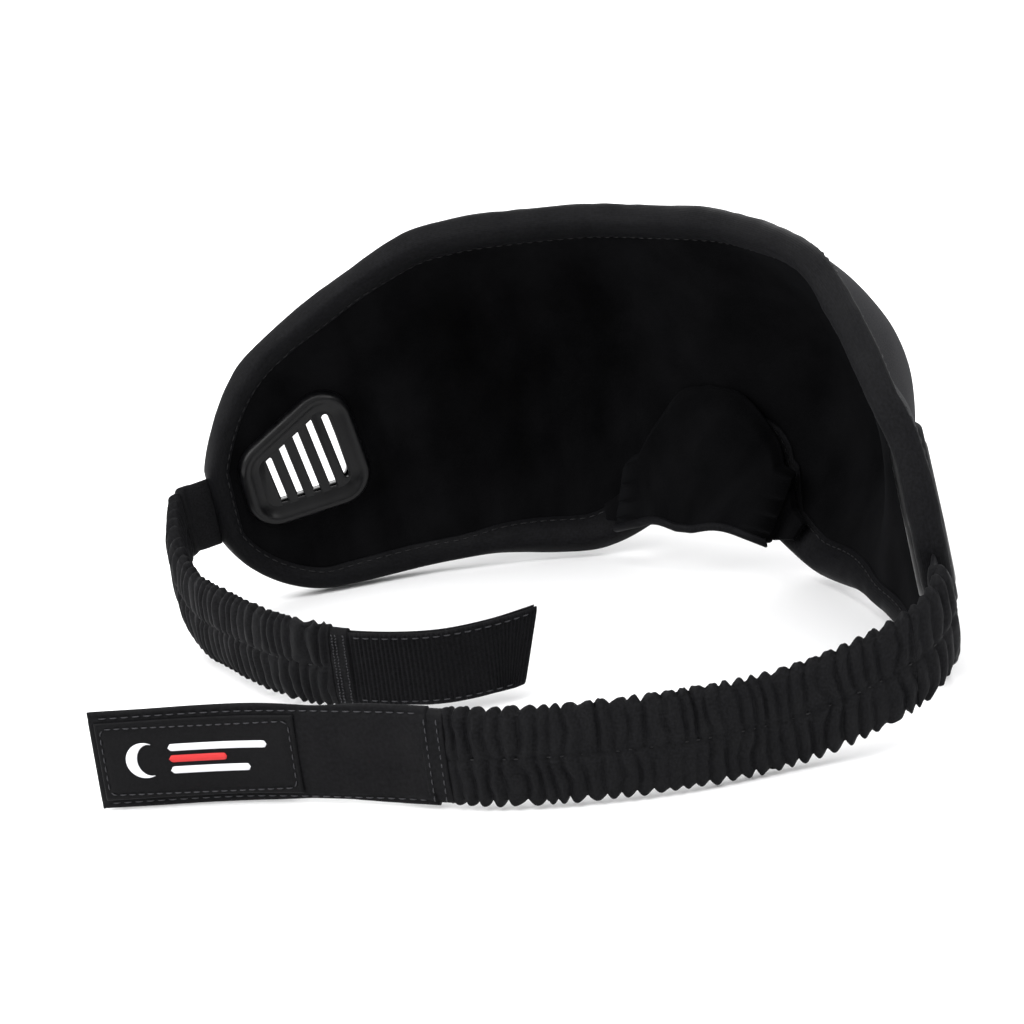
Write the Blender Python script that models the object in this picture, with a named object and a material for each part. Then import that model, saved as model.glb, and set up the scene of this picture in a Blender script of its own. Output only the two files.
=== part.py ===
"""Contoured sleep eye mask with two vented temple wings and a two-part elastic strap.

Working lengths are millimetres. The mask stands on its lower edge with its face towards -Y
and the wearer's left side towards +X. A place on the mask is given by s, the distance along
the face from the nose line (plus on the wearer's left), and h, the height on the flat pattern.
"""
import math

import bmesh
import bpy
import numpy as np
from mathutils import Vector

MM = 0.001
OCTAGON = ((-1, -0.5), (-0.5, -1), (0.5, -1), (1, -0.5), (1, 0.5), (0.5, 1), (-0.5, 1), (-1, 0.5))

# Face pattern: heights of the top and bottom edges at distances s from the nose line.
PATTERN_HALF = 130.0
TIP_CUT = 1.5
TOP_EDGE = ((0, 93.5), (30, 94.0), (46, 94.2), (62, 93.0), (76, 88.6), (92, 81.2), (130, 59.0))
BOTTOM_EDGE = ((0, 33.5), (9, 26.0), (20, 6.2), (36, 0.5), (60, 2.3), (90, 1.8), (130, 4.0))
TOP_TIP_ROUND = 22.5
BOTTOM_TIP_ROUND = 29.5

# How the face wraps round the head: heading angle at distances s, seen from above.
WRAP = ((0, 0.0), (30, 24.5), (60, 30.5), (90, 46.0), (130, 47.5))

# Moulding: overall crown, eye cups and the crease between cup and wing.
CROWN = 14.0
CUP_DEPTH = 14.0
CUP_START = (2.0, 26.0)
CUP_END = (47.0, 76.0)
CREASE_DEPTH = 1.5
CREASE_AT = 73.0
CREASE_WIDTH = 8.0
FEATURE_SLANT = 0.16
MID_HEIGHT = 41.0
LEAN_BACK = math.radians(5.0)
FACE_TOE = math.tan(math.radians(5.5))
WING_TOE = math.tan(math.radians(2.0))

# Layers, from the middle of the foam: (inner face, outer face).
FOAM = (-1.1, 1.1)
OUTER_FABRIC = (1.4, 2.1)
LINING = (-2.1, -1.4)
EDGE_INSET = 2.3
NOSE_ZONE = 26.0
TIP_ZONE = 100.0

# Binding: a folded band round the whole edge.
BINDING_DEPTH = 5.2
BINDING_WALL = 0.6
BINDING_HALF = 3.6
BINDING_ROUND = 0.9
WAY_REACH = 2.4

# Vents, about a centre on the wing; the outline is a four-sided shape with round corners. Each ring
# is (outer growth, inner growth, low, high): growths of the outline, and heights out of the face.
VENT_AT = (103.3, 39.0)
VENT_CORNERS = ((-13.0, 22.5), (18.8, 5.0), (17.4, -16.5), (-18.2, -15.8))
VENT_ROUND = 9.0
VENT_FLAT = (20.0, 32.0)
SLAT_TILT = math.radians(10.0)
SLAT_PITCH = 4.3
SLAT_SIZE = (1.5, 40.0)
SLAT_HEIGHTS = (0.6, 2.8)
SLAT_RISE = 2.0
SLAT_COUNT = 5
SLAT_STEP_DOWN = 0.3
WELT = (0.0, -2.0, 2.4, 3.6)
BEZEL = (-2.4, -5.4, -0.2, 3.9)
SLAT_LIMIT = (-5.2, -0.5, 3.5)
FACE_HOLE = (-2.1, -6.0, 8.0)
REAR_PLATE = (-1.2, -4.2, -2.5)
REAR_RECESS = (-4.0, -5.0, -3.5)
SLOT_WIDTH = 2.0
SLOT_HEIGHTS = (-6.0, -1.0)
SLOT_HALVES = (8.4, 9.6, 9.2, 8.0, 6.6)
SLOT_DROP = -1.5

# Nose baffle: a soft flap behind the nose notch, from its top edge (x, h) down to a hem.
BAFFLE_THICK = 1.2
BAFFLE_GAP = 0.9
BAFFLE_EDGE = ((0, 42.0), (5, 41.0), (14, 29.0), (23, 17.5), (30, 11.3))
BAFFLE_BELLY = 8.0
BAFFLE_NARROWING = 0.3
BAFFLE_HINGE_DROP = 2.0
BAFFLE_HEM = 3.4
HEM_SIZE = (2.2, 1.8)

# Woven label, folded over at the top front edge.
LABEL_SPAN = (23.0, 57.0)
LABEL_TOP = 3.0
LABEL_DROP = 5.6
LABEL_GAP = 0.3
LABEL_THICK = 0.9

# Straps: (height, thickness) of each flat band, and where bands end along a strap.
SLEEVE = {"left": (20.5, 4.4), "right": (22.0, 4.4)}
SLEEVE_HOLLOW = (17.0, 1.9)
ELASTIC = (16.0, 1.1)
ANCHOR = (16.0, 1.4)
ANCHOR_LENGTH = 4.0
ANCHOR_GAP = 0.4
ELASTIC_START = 0.8
SLEEVE_START = 4.0
SLEEVE_END = {"left": 102.0, "right": 124.0}
SEAM = (20.0, 3.4)
SEAM_LENGTH = 3.0
STATION_STEP = 4.0
JOIN_GAP = 0.3
TAPE = (17.5, 1.2)
TAPE_OUT = 0.5
TAPE_END = 0.6
TAPE_BACKING = (17.5, 0.7)
BACKING_OUT = -0.75
TAB = (23.0, 2.0)
PATCH = (18.6, 0.8)
PATCH_LENGTH = 46.0
PATCH_END = 1.6
HOOK = (18.5, 1.2)
HOOK_LENGTH = 42.0
HOOK_END = 3.0

# Routes of the two strap halves: straight out of the wing tip for the root run, then through
# places (x, y, height of the middle of the band).
ROOT_RUN = 2.5
TIP_HEIGHT = 31.0
FLOOR = 9.5
ROUTES = {
    "left": ((109.5, 79.5, 22.5), (105.5, 85.5, 17.5), (98, 92, 12.5), (87, 98.8, FLOOR),
             (73, 105.5, FLOOR), (58, 111.5, FLOOR), (45.5, 115.3, FLOOR), (31, 116.8, FLOOR),
             (15.5, 114.5, FLOOR), (3, 109, FLOOR), (-5, 99.5, FLOOR), (-10, 87.8, FLOOR)),
    "right": ((-112, 77, 24), (-111.5, 87, 19), (-102.5, 97.5, 13.5), (-89.5, 110.5, FLOOR),
              (-71.5, 130.5, FLOOR), (-44.5, 147.6, FLOOR), (-14.5, 156.3, FLOOR),
              (14, 165.5, FLOOR), (41, 179.4, FLOOR), (44.3, 181.4, FLOOR)),
}
SIDES = {"left": 1, "right": -1}


def smooth(value, low, high):
    t = min(1.0, max(0.0, (value - low) / (high - low)))
    return t * t * (3.0 - 2.0 * t)


def through(points, x):
    """Value at x of a smooth curve through points that never overshoots them."""
    xs = [p[0] for p in points]
    ys = [p[1] for p in points]
    x = min(max(x, xs[0]), xs[-1])
    steps = [xs[i + 1] - xs[i] for i in range(len(xs) - 1)]
    rises = [(ys[i + 1] - ys[i]) / steps[i] for i in range(len(steps))]
    slopes = [rises[0]]
    for i in range(1, len(rises)):
        before, after = rises[i - 1], rises[i]
        w1 = 2 * steps[i] + steps[i - 1]
        w2 = steps[i] + 2 * steps[i - 1]
        slopes.append(0.0 if before * after <= 0 else (w1 + w2) / (w1 / before + w2 / after))
    slopes.append(rises[-1])
    i = max(k for k in range(len(steps)) if x >= xs[k])
    t = (x - xs[i]) / steps[i]
    a = ys[i] * (1 + 2 * t) * (1 - t) ** 2 + slopes[i] * steps[i] * t * (1 - t) ** 2
    return a + ys[i + 1] * t * t * (3 - 2 * t) + slopes[i + 1] * steps[i] * t * t * (t - 1)


def wrap_table():
    """Plan of the unmoulded face: x, y and heading every half millimetre of s."""
    rows = [(0.0, 0.0, 0.0)]
    x = y = 0.0
    step = 0.5
    for i in range(int(PATTERN_HALF / step) + 8):
        middle = math.radians(through(WRAP, (i + 0.5) * step))
        x += math.cos(middle) * step
        y += math.sin(middle) * step
        rows.append((x, y, math.radians(through(WRAP, (i + 1) * step))))
    return np.array(rows), step


WRAP_ROWS, WRAP_STEP = wrap_table()


def plan(s):
    at = abs(s) / WRAP_STEP
    i = min(int(at), len(WRAP_ROWS) - 2)
    x, y, heading = WRAP_ROWS[i] + (WRAP_ROWS[i + 1] - WRAP_ROWS[i]) * (at - i)
    return (x, y, heading) if s >= 0 else (-x, y, -heading)


def bulge(s, h):
    """How far the moulded face stands out from its plan line."""
    a = abs(s)
    low = min(through(BOTTOM_EDGE, a), 8.0)
    high = through(TOP_EDGE, a)
    t = (2 * h - low - high) / (high - low)
    dome = 1.0 - t * t
    along = a - FEATURE_SLANT * (h - MID_HEIGHT)
    cup = CUP_DEPTH * smooth(a, *CUP_START) * (1.0 - smooth(along, *CUP_END))
    crease = CREASE_DEPTH * math.exp(-((along - CREASE_AT) / CREASE_WIDTH) ** 2)
    out = (CROWN * (1.0 - (a / PATTERN_HALF) ** 2) + cup - crease) * dome
    wing = (a / PATTERN_HALF) ** 2
    return out - (FACE_TOE * (1.0 - wing) + WING_TOE * wing) * (h - MID_HEIGHT)


def moulded(s, h):
    x, y, heading = plan(s)
    d = bulge(s, h)
    px, py = x + math.sin(heading) * d, y - math.cos(heading) * d
    c, k = math.cos(LEAN_BACK), math.sin(LEAN_BACK)
    return np.array((px, py * c + h * k, h * c - py * k))


def tangent_frame(shape, s, h):
    """Point, direction of growing s, outward normal and in-face up at a place on a surface."""
    e = 0.05
    ds = shape(s + e, h) - shape(s - e, h)
    dh = shape(s, h + e) - shape(s, h - e)
    normal = np.cross(ds, dh)
    normal /= np.linalg.norm(normal)
    along = ds / np.linalg.norm(ds)
    return shape(s, h), along, normal, np.cross(normal, along)


VENT_FRAMES = {side: tangent_frame(moulded, side * VENT_AT[0], VENT_AT[1])
               for side in SIDES.values()}


def face(s, h):
    """The moulded face, made flat round each vent so that the hard parts seat on it."""
    point = moulded(s, h)
    side = 1 if s > 0 else -1
    reach = math.hypot(abs(s) - VENT_AT[0], h - VENT_AT[1])
    if reach < VENT_FLAT[1]:
        centre, _, normal, _ = VENT_FRAMES[side]
        level = 1.0 - smooth(reach, *VENT_FLAT)
        point = point - normal * float(np.dot(point - centre, normal)) * level
    return point


def face_point(s, h, offset):
    point, _, normal, _ = tangent_frame(face, s, h)
    return point + normal * offset


def edges(s, inset=0.0):
    """Heights of the bottom and top edge at s, with the round wing tips, drawn in by inset."""
    reach = PATTERN_HALF - TIP_CUT
    middle = (TOP_EDGE[-1][1] + BOTTOM_EDGE[-1][1]) / 2

    def closing(a, radius):
        return math.sqrt(1 - max(0.0, (a - PATTERN_HALF + radius) / radius) ** 2)

    def raw(a):
        low = middle + (through(BOTTOM_EDGE, a) - middle) * closing(a, BOTTOM_TIP_ROUND)
        top = middle + (through(TOP_EDGE, a) - middle) * closing(a, TOP_TIP_ROUND)
        return np.array((low, top))

    a = min(abs(s) * reach / (reach - inset), reach)
    before, after = max(a - 0.2, 0.0), min(a + 0.2, reach)
    slope = np.minimum(np.abs((raw(after) - raw(before)) / (after - before)), 3.0)
    low, top = raw(a)
    low_inset, top_inset = inset * np.sqrt(1 + slope ** 2)
    return low + low_inset, top - top_inset


def columns(inset):
    """Places s for the columns of a face mesh, closer together at the nose and at the round tips."""
    half = PATTERN_HALF - TIP_CUT - inset
    nose = [NOSE_ZONE * i / 14 for i in range(14)]
    middle = [NOSE_ZONE + (TIP_ZONE - NOSE_ZONE) * i / 11 for i in range(11)]
    tip = [TIP_ZONE + (half - TIP_ZONE) * math.sin(math.pi / 2 * i / 10) for i in range(11)]
    out = nose + middle + tip
    return [-v for v in reversed(out[1:])] + out


def outline():
    """Places (s, h) round the edge of the face with their inward directions, closest together at
    the nose and the tips."""
    reach = PATTERN_HALF - TIP_CUT
    fine = [reach * math.sin(math.pi / 2 * share) for share in np.linspace(0, 1, 801)]
    upper = [(a, edges(a)[1]) for a in fine]
    lower = [(a, edges(a)[0]) for a in fine]
    loop = [(-a, h) for a, h in lower[:0:-1]] + lower + upper[::-1] + [(-a, h) for a, h in upper[1:]]
    points = np.array(loop)
    closed = np.vstack((points, points[:1]))
    middle = (closed[1:] + closed[:-1]) / 2
    gaps = np.linalg.norm(closed[1:] - closed[:-1], axis=1)
    a = np.abs(middle[:, 0])
    spacing = np.where((a < 36) & (middle[:, 1] < 50), 3.0, np.where(a > TIP_ZONE, 3.4, 6.5))
    run = np.concatenate(((0.0,), np.cumsum(gaps)))
    weight = np.concatenate(((0.0,), np.cumsum(gaps / spacing)))
    marks = np.interp(np.linspace(0, weight[-1], int(round(weight[-1])), endpoint=False), weight, run)

    def place(mark):
        return np.array([np.interp(mark % run[-1], run, closed[:, k]) for k in (0, 1)])

    places = []
    for mark in marks:
        way = place(mark + WAY_REACH) - place(mark - WAY_REACH)
        way /= np.linalg.norm(way)
        places.append((place(mark), np.array((-way[1], way[0]))))
    return places


def material(name, colour, roughness, metallic=0.0):
    made = bpy.data.materials.new(name)
    made.use_nodes = True
    shader = made.node_tree.nodes["Principled BSDF"]
    shader.inputs["Base Color"].default_value = (*colour, 1.0)
    shader.inputs["Roughness"].default_value = roughness
    shader.inputs["Metallic"].default_value = metallic
    return made


def add_object(name, points, faces, look, origin=(0.0, 0.0, 0.0)):
    """An object whose mesh has these points (mm), with its own origin on a joint where it moves."""
    origin = np.array(origin, float)
    mesh = bpy.data.meshes.new(name)
    mesh.from_pydata([tuple((np.array(p) - origin) * MM) for p in points], [], faces)
    builder = bmesh.new()
    builder.from_mesh(mesh)
    bmesh.ops.recalc_face_normals(builder, faces=builder.faces)
    bmesh.ops.triangulate(builder, faces=[f for f in builder.faces if len(f.verts) > 4])
    builder.to_mesh(mesh)
    builder.free()
    mesh.shade_smooth()
    mesh.set_sharp_from_angle(angle=math.radians(40))
    made = bpy.data.objects.new(name, mesh)
    made.location = Vector(origin) * MM
    made.data.materials.append(look)
    bpy.context.collection.objects.link(made)
    return made


def slab(front, back):
    """Closed solid between two equal grids of points."""
    rows, cols = len(front), len(front[0])
    points = [p for row in front for p in row] + [p for row in back for p in row]
    half = rows * cols

    def at(i, j):
        return i * cols + j

    faces = []
    for i in range(rows - 1):
        for j in range(cols - 1):
            a, b, c, d = at(i, j), at(i, j + 1), at(i + 1, j + 1), at(i + 1, j)
            for corners in ((a, b, c), (a, c, d)):
                faces.append(corners)
                faces.append(tuple(half + v for v in reversed(corners)))
    rim = [at(0, j) for j in range(cols)]
    rim += [at(i, cols - 1) for i in range(1, rows)]
    rim += [at(rows - 1, j) for j in reversed(range(cols - 1))]
    rim += [at(i, 0) for i in range(rows - 2, 0, -1)]
    for a, b in zip(rim, rim[1:] + rim[:1]):
        faces.append((a, half + a, half + b, b))
    return points, faces


def swept(rings, closed):
    """Solid skin through rings of points; the ends are filled when it isn't a closed loop."""
    count = len(rings[0])
    points = [p for ring in rings for p in ring]
    faces = []
    last = len(rings) if closed else len(rings) - 1
    for i in range(last):
        a, b = i * count, ((i + 1) % len(rings)) * count
        for k in range(count):
            m = (k + 1) % count
            faces.append((a + k, a + m, b + m))
            faces.append((a + k, b + m, b + k))
    if not closed:
        faces.append(tuple(reversed(range(count))))
        faces.append(tuple(range((len(rings) - 1) * count, len(rings) * count)))
    return points, faces


def combine(target, operation, helpers):
    """Boolean each closed helper with the target; the helpers aren't part of the model."""
    for helper in helpers:
        helper.hide_render = True
        helper.display_type = "WIRE"
        step = target.modifiers.new(f"with_{helper.name}", "BOOLEAN")
        step.operation = operation
        step.solver = "EXACT"
        step.object = helper


def face_layer(name, layer, look, rows=8):
    """One cloth or foam layer of the face, following it at a fixed offset."""
    places = columns(EDGE_INSET)
    grids = []
    for offset in (layer[1], layer[0]):
        grid = []
        for r in range(rows + 1):
            line = []
            for s in places:
                low, top = edges(s, EDGE_INSET)
                line.append(face_point(s, low + (top - low) * r / rows, offset))
            grid.append(line)
        grids.append(grid)
    return add_object(name, *slab(*grids), look)


def rounded(grow, arc=5):
    """Points (u, v) of the vent outline with its round corners, grown or drawn in by grow."""
    pts = [np.array(c) for c in VENT_CORNERS]
    out = []
    for i, here in enumerate(pts):
        a, b = here - pts[i - 1], pts[(i + 1) % len(pts)] - here
        a /= np.linalg.norm(a)
        b /= np.linalg.norm(b)
        bend = math.acos(float(np.dot(a, b)))
        inward = (b - a) / np.linalg.norm(b - a)
        middle = here + inward * VENT_ROUND / math.cos(bend / 2)
        start, end = np.array((-a[1], a[0])), np.array((-b[1], b[0]))
        for k in range(arc + 1):
            way = start * (1 - k / arc) + end * (k / arc)
            out.append(middle + way / np.linalg.norm(way) * (VENT_ROUND + grow))
    return out


def on_vent(side, u, v, w):
    """A place on a vent: u along the wing, v up and w out of the face, from the vent's middle."""
    centre, along, normal, up = VENT_FRAMES[side]
    return centre + along * u * side + up * v + normal * w


def vent_ring(name, side, sizes, look):
    """A flat ring that follows the vent outline, between two heights out of the face."""
    outer, inner, low, high = sizes
    rings = []
    for grow, w in ((outer, low), (outer, high), (inner, high), (inner, low)):
        rings.append([on_vent(side, u, v, w) for u, v in rounded(grow)])
    sections = [list(section) for section in zip(*rings)]
    return add_object(name, *swept(sections, True), look)


def vent_block(name, side, sizes, look):
    """A solid with the vent's outline, between two heights out of the face."""
    grow, low, high = sizes
    rings = [[on_vent(side, u, v, w) for u, v in rounded(grow)] for w in (low, high)]
    return add_object(name, *swept(rings, False), look)


def vent_bar(name, side, shift, rise, size, heights, look):
    """A bar or cutter along the slats, shift slats from the middle one and rise up the vent."""
    across = np.array((math.cos(SLAT_TILT), -math.sin(SLAT_TILT)))
    along = np.array((math.sin(SLAT_TILT), math.cos(SLAT_TILT)))
    middle = np.array((shift, -shift * SLAT_STEP_DOWN)) * SLAT_PITCH + (0.0, SLOT_DROP + rise)
    rings = []
    for w in heights:
        ring = []
        for a, b in ((-1, -1), (1, -1), (1, 1), (-1, 1)):
            u, v = middle + across * a * size[0] / 2 + along * b * size[1] / 2
            ring.append(on_vent(side, u, v, w))
        rings.append(ring)
    return add_object(name, *swept(rings, False), look)


def add_vent(side, word, hard, soft):
    """Welt, front bezel with slats and rear ring with slots, all seated through the wing."""
    vent_ring(f"{word}_vent_welt", side, WELT, soft)
    bezel = vent_ring(f"{word}_vent_bezel", side, BEZEL, hard)
    limit = vent_block(f"{word}_slat_limit", side, SLAT_LIMIT, hard)
    bars = []
    for i in range(SLAT_COUNT):
        shift = i - (SLAT_COUNT - 2) / 2
        bar = vent_bar(f"{word}_slat_{i}", side, shift, SLAT_RISE, SLAT_SIZE, SLAT_HEIGHTS, hard)
        combine(bar, "INTERSECT", [limit])
        bars.append(bar)
    combine(bezel, "UNION", bars)
    plate = vent_block(f"{word}_vent_ring", side, REAR_PLATE, hard)
    cutters = [vent_block(f"{word}_ring_recess", side, REAR_RECESS, hard)]
    for i, half in enumerate(SLOT_HALVES):
        shift = i - (len(SLOT_HALVES) - 1) / 2
        size = (SLOT_WIDTH, 2 * half)
        cutters.append(vent_bar(f"{word}_slot_{i}", side, shift, 0.0, size, SLOT_HEIGHTS, hard))
    combine(plate, "DIFFERENCE", cutters)


def add_binding(look):
    """Folded band round the whole edge: a U section that follows the face along the outline."""
    d, w, b = BINDING_DEPTH, BINDING_WALL, BINDING_HALF
    m = d / 2
    r = BINDING_ROUND
    section = ((d, b), (m, b), (r, b), (0.0, b - r), (0.0, r - b), (r, -b), (m, -b), (d, -b),
               (d, w - b), (m, w - b), (w, w - b), (w, b - w), (m, b - w), (d, b - w))
    rings = []
    for place, inward in outline():
        ring = {}
        for depth in {depth for depth, _ in section}:
            s, h = place + inward * depth
            point, _, normal, _ = tangent_frame(face, s, h)
            ring[depth] = (point, normal)
        rings.append([ring[depth][0] + ring[depth][1] * lift for depth, lift in section])
    return add_object("edge_binding", *swept(rings, True), look)


def add_label(look):
    """Folded woven label that hangs from the top binding over the wearer's left eye."""
    inner = BINDING_HALF + LABEL_GAP
    places = np.linspace(*LABEL_SPAN, 9)
    drops = np.linspace(LABEL_TOP, LABEL_TOP + LABEL_DROP, 3)
    grids = []
    for offset in (inner + LABEL_THICK, inner):
        grids.append([[face_point(s, edges(s)[1] - drop, offset) for s in places] for drop in drops])
    add_object("front_label", *slab(*grids), look)


def baffle_place(x, h):
    """Where the nose baffle is at x across and h high: the place s and the offset behind the face.
    It hangs from its top, narrows as it falls and stands away from the face in its middle."""
    reach = abs(x) / BAFFLE_EDGE[-1][0]
    top = BAFFLE_EDGE[0][1]
    fall = (top - h) / (top - BAFFLE_HEM)
    spread = x * (1.0 - BAFFLE_NARROWING * fall * reach)
    back = -(BINDING_HALF + BAFFLE_GAP) - BAFFLE_BELLY * fall * (1.0 - reach ** 2) - fall
    return spread, back


def add_baffle(look, hem_look, hinge):
    """The flap and the hem along its lower free edge; both turn about the notch's top."""
    places = np.linspace(-BAFFLE_EDGE[-1][0], BAFFLE_EDGE[-1][0], 17)
    hem_width, hem_height = HEM_SIZE
    low = BAFFLE_HEM + hem_height + JOIN_GAP
    grids = []
    for lift in (0.0, -BAFFLE_THICK):
        grid = []
        for share in np.linspace(0, 1, 7):
            line = []
            for x in places:
                top = through(BAFFLE_EDGE, abs(x))
                h = top + (low - top) * share
                spread, back = baffle_place(x, h)
                line.append(face_point(spread, h, back + lift))
            grid.append(line)
        grids.append(grid)
    add_object("nose_baffle", *slab(*grids), look, hinge)
    rings = []
    for x in places:
        h = BAFFLE_HEM + hem_height / 2
        spread, back = baffle_place(x, h)
        middle, _, normal, up = tangent_frame(face, spread, h)
        middle = middle + normal * (back - BAFFLE_THICK / 2)
        rings.append([middle + normal * hem_width / 2 * a + up * hem_height / 2 * b for a, b in OCTAGON])
    add_object("baffle_hem", *swept(rings, False), hem_look, hinge)


def strap_start(side):
    """Where a strap half turns on its wing tip, and the way out of the tip."""
    tip, along, _, up = tangent_frame(face, side * (PATTERN_HALF - TIP_CUT), TIP_HEIGHT)
    return tip + along * side * (JOIN_GAP + ANCHOR_LENGTH + ANCHOR_GAP), along * side, up


class Strap:
    """A strap half: a smooth route with places measured along it from the wing tip."""

    def __init__(self, side, route):
        self.side = side
        self.axis, self.out, self.up = strap_start(side)
        knots = [self.axis, self.axis + self.out * ROOT_RUN] + [np.array(p, float) for p in route]
        fine = []
        ends = [2 * knots[0] - knots[1]] + knots + [2 * knots[-1] - knots[-2]]
        for a, b, c, d in zip(ends, ends[1:], ends[2:], ends[3:]):
            for k in range(24):
                t = k / 24
                fine.append(0.5 * (2 * b + (c - a) * t + (2 * a - 5 * b + 4 * c - d) * t * t
                                   + (3 * b - a - 3 * c + d) * t ** 3))
        fine.append(knots[-1])
        self.points = np.array(fine)
        gaps = np.linalg.norm(np.diff(self.points, axis=0), axis=1)
        self.run = np.concatenate(((0.0,), np.cumsum(gaps)))
        self.length = float(self.run[-1])

    def at(self, distance):
        return np.array([np.interp(distance, self.run, self.points[:, k]) for k in range(3)])

    def frame(self, distance):
        """Point, way along, sideways and up; the band stands upright."""
        ahead = self.at(min(distance + 1.5, self.length)) - self.at(max(distance - 1.5, 0.0))
        ahead[2] = 0.0
        ahead /= np.linalg.norm(ahead)
        up = np.array((0.0, 0.0, 1.0))
        return self.at(distance), ahead, np.cross(ahead, up), up

    def stations(self, start, end):
        """Places along the route, shared by all bands so that they stay parallel in the bends."""
        marks = [STATION_STEP * i for i in range(int(self.length / STATION_STEP) + 1)]
        return [start] + [m for m in marks if start + 1.0 < m < end - 1.0] + [end]

    def band(self, start, end, height, thick, offset=0.0):
        """Closed flat band from start to end, offset from the route away from the head."""
        rings = []
        for place in self.stations(start, end):
            point, _, aside, up = self.frame(place)
            point = point + aside * self.side * offset
            tall = height / 2
            wide = thick / 2
            soft = min(0.35 * thick, 0.8)
            ring = []
            for side, end in ((-1, -1), (1, -1), (1, 1), (-1, 1)):
                flat = point + aside * side * wide + up * end * (tall - soft)
                tip = point + aside * side * (wide - soft) + up * end * tall
                ring += [flat, tip] if side == end else [tip, flat]
            rings.append(ring)
        return rings

    def sleeve(self, start, end, size):
        """Hollow band, open at both ends."""
        outer = self.band(start, end, *size)
        inner = self.band(start, end, *SLEEVE_HOLLOW)
        count = len(outer[0])
        points, faces = [], []
        for a, b in zip(outer, inner):
            points += a + b
        for i in range(len(outer) - 1):
            for k in range(count):
                m = (k + 1) % count
                a, b = i * 2 * count, (i + 1) * 2 * count
                faces.append((a + k, a + m, b + m))
                faces.append((a + k, b + m, b + k))
                faces.append((a + count + k, b + count + m, a + count + m))
                faces.append((a + count + k, b + count + k, b + count + m))
        for base in (0, (len(outer) - 1) * 2 * count):
            for k in range(count):
                m = (k + 1) % count
                faces.append((base + k, base + count + k, base + count + m, base + m))
        return points, faces


def add_strap(word, looks):
    """Anchor, elastic and ruched sleeve of one strap half; returns the strap."""
    strap = Strap(SIDES[word], ROUTES[word])
    aside = np.cross(strap.out, strap.up)
    anchor = []
    for run in (-ANCHOR_GAP - ANCHOR_LENGTH, -ANCHOR_GAP):
        centre = strap.axis + strap.out * run
        anchor.append([centre + aside * a * ANCHOR[1] / 2 + strap.up * b * ANCHOR[0] / 2
                       for a, b in ((-1, -1), (1, -1), (1, 1), (-1, 1))])
    add_object(f"{word}_anchor_tab", *swept(anchor, False), looks["webbing"])
    elastic = strap.band(ELASTIC_START, SLEEVE_END[word] - JOIN_GAP, *ELASTIC)
    add_object(f"{word}_elastic", *swept(elastic, False), looks["elastic"], strap.axis)
    sleeve = strap.sleeve(SLEEVE_START, SLEEVE_END[word], SLEEVE[word])
    add_object(f"{word}_sleeve", *sleeve, looks["sleeve"], strap.axis)
    return strap


def add_seam(strap, word, looks):
    """The sewn seam at the end of the sleeve; returns its place and where the tab starts."""
    start = SLEEVE_END[word] + JOIN_GAP
    origin = strap.at(start)
    seam = strap.band(start, start + SEAM_LENGTH, *SEAM)
    add_object(f"{word}_seam", *swept(seam, False), looks["webbing"], origin)
    return origin, start + SEAM_LENGTH + JOIN_GAP


def add_left_tab(strap, looks):
    """Backing tape with the ribbed loop tape on its outer face."""
    origin, start = add_seam(strap, "left", looks)
    backing = strap.band(start, strap.length, *TAPE_BACKING, offset=BACKING_OUT)
    add_object("left_tab_backing", *swept(backing, False), looks["fabric"], origin)
    tape = strap.band(start, strap.length - TAPE_END, *TAPE, offset=TAPE_OUT)
    add_object("left_loop_tape", *swept(tape, False), looks["tape"], origin)


def add_right_tab(strap, looks):
    """Smooth tab with the stitched patch outside and the hook tape inside."""
    origin, start = add_seam(strap, "right", looks)
    tab = strap.band(start, strap.length, *TAB)
    add_object("right_tab", *swept(tab, False), looks["fabric"], origin)
    outward = TAB[1] / 2 + JOIN_GAP + PATCH[1] / 2
    end = strap.length - PATCH_END
    patch = strap.band(end - PATCH_LENGTH, end, *PATCH, offset=outward)
    add_object("right_patch", *swept(patch, False), looks["patch"], origin)
    inward = TAB[1] / 2 + JOIN_GAP + HOOK[1] / 2
    end = strap.length - HOOK_END
    hook = strap.band(end - HOOK_LENGTH, end, *HOOK, offset=-inward)
    add_object("right_hook_tape", *swept(hook, False), looks["tape"], origin)


def stand_on_floor(objects):
    """Parent everything to one empty that puts the middle of the object over the origin."""
    bpy.context.view_layer.update()
    shown = [o for o in objects if not o.hide_render]
    corners = np.array([tuple(o.matrix_world @ v.co) for o in shown for v in o.data.vertices])
    low, high = corners.min(0), corners.max(0)
    rig = bpy.data.objects.new("mask_frame", None)
    rig.location = (-(low[0] + high[0]) / 2, -(low[1] + high[1]) / 2, -low[2])
    bpy.context.collection.objects.link(rig)
    for made in objects:
        made.parent = rig


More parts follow.
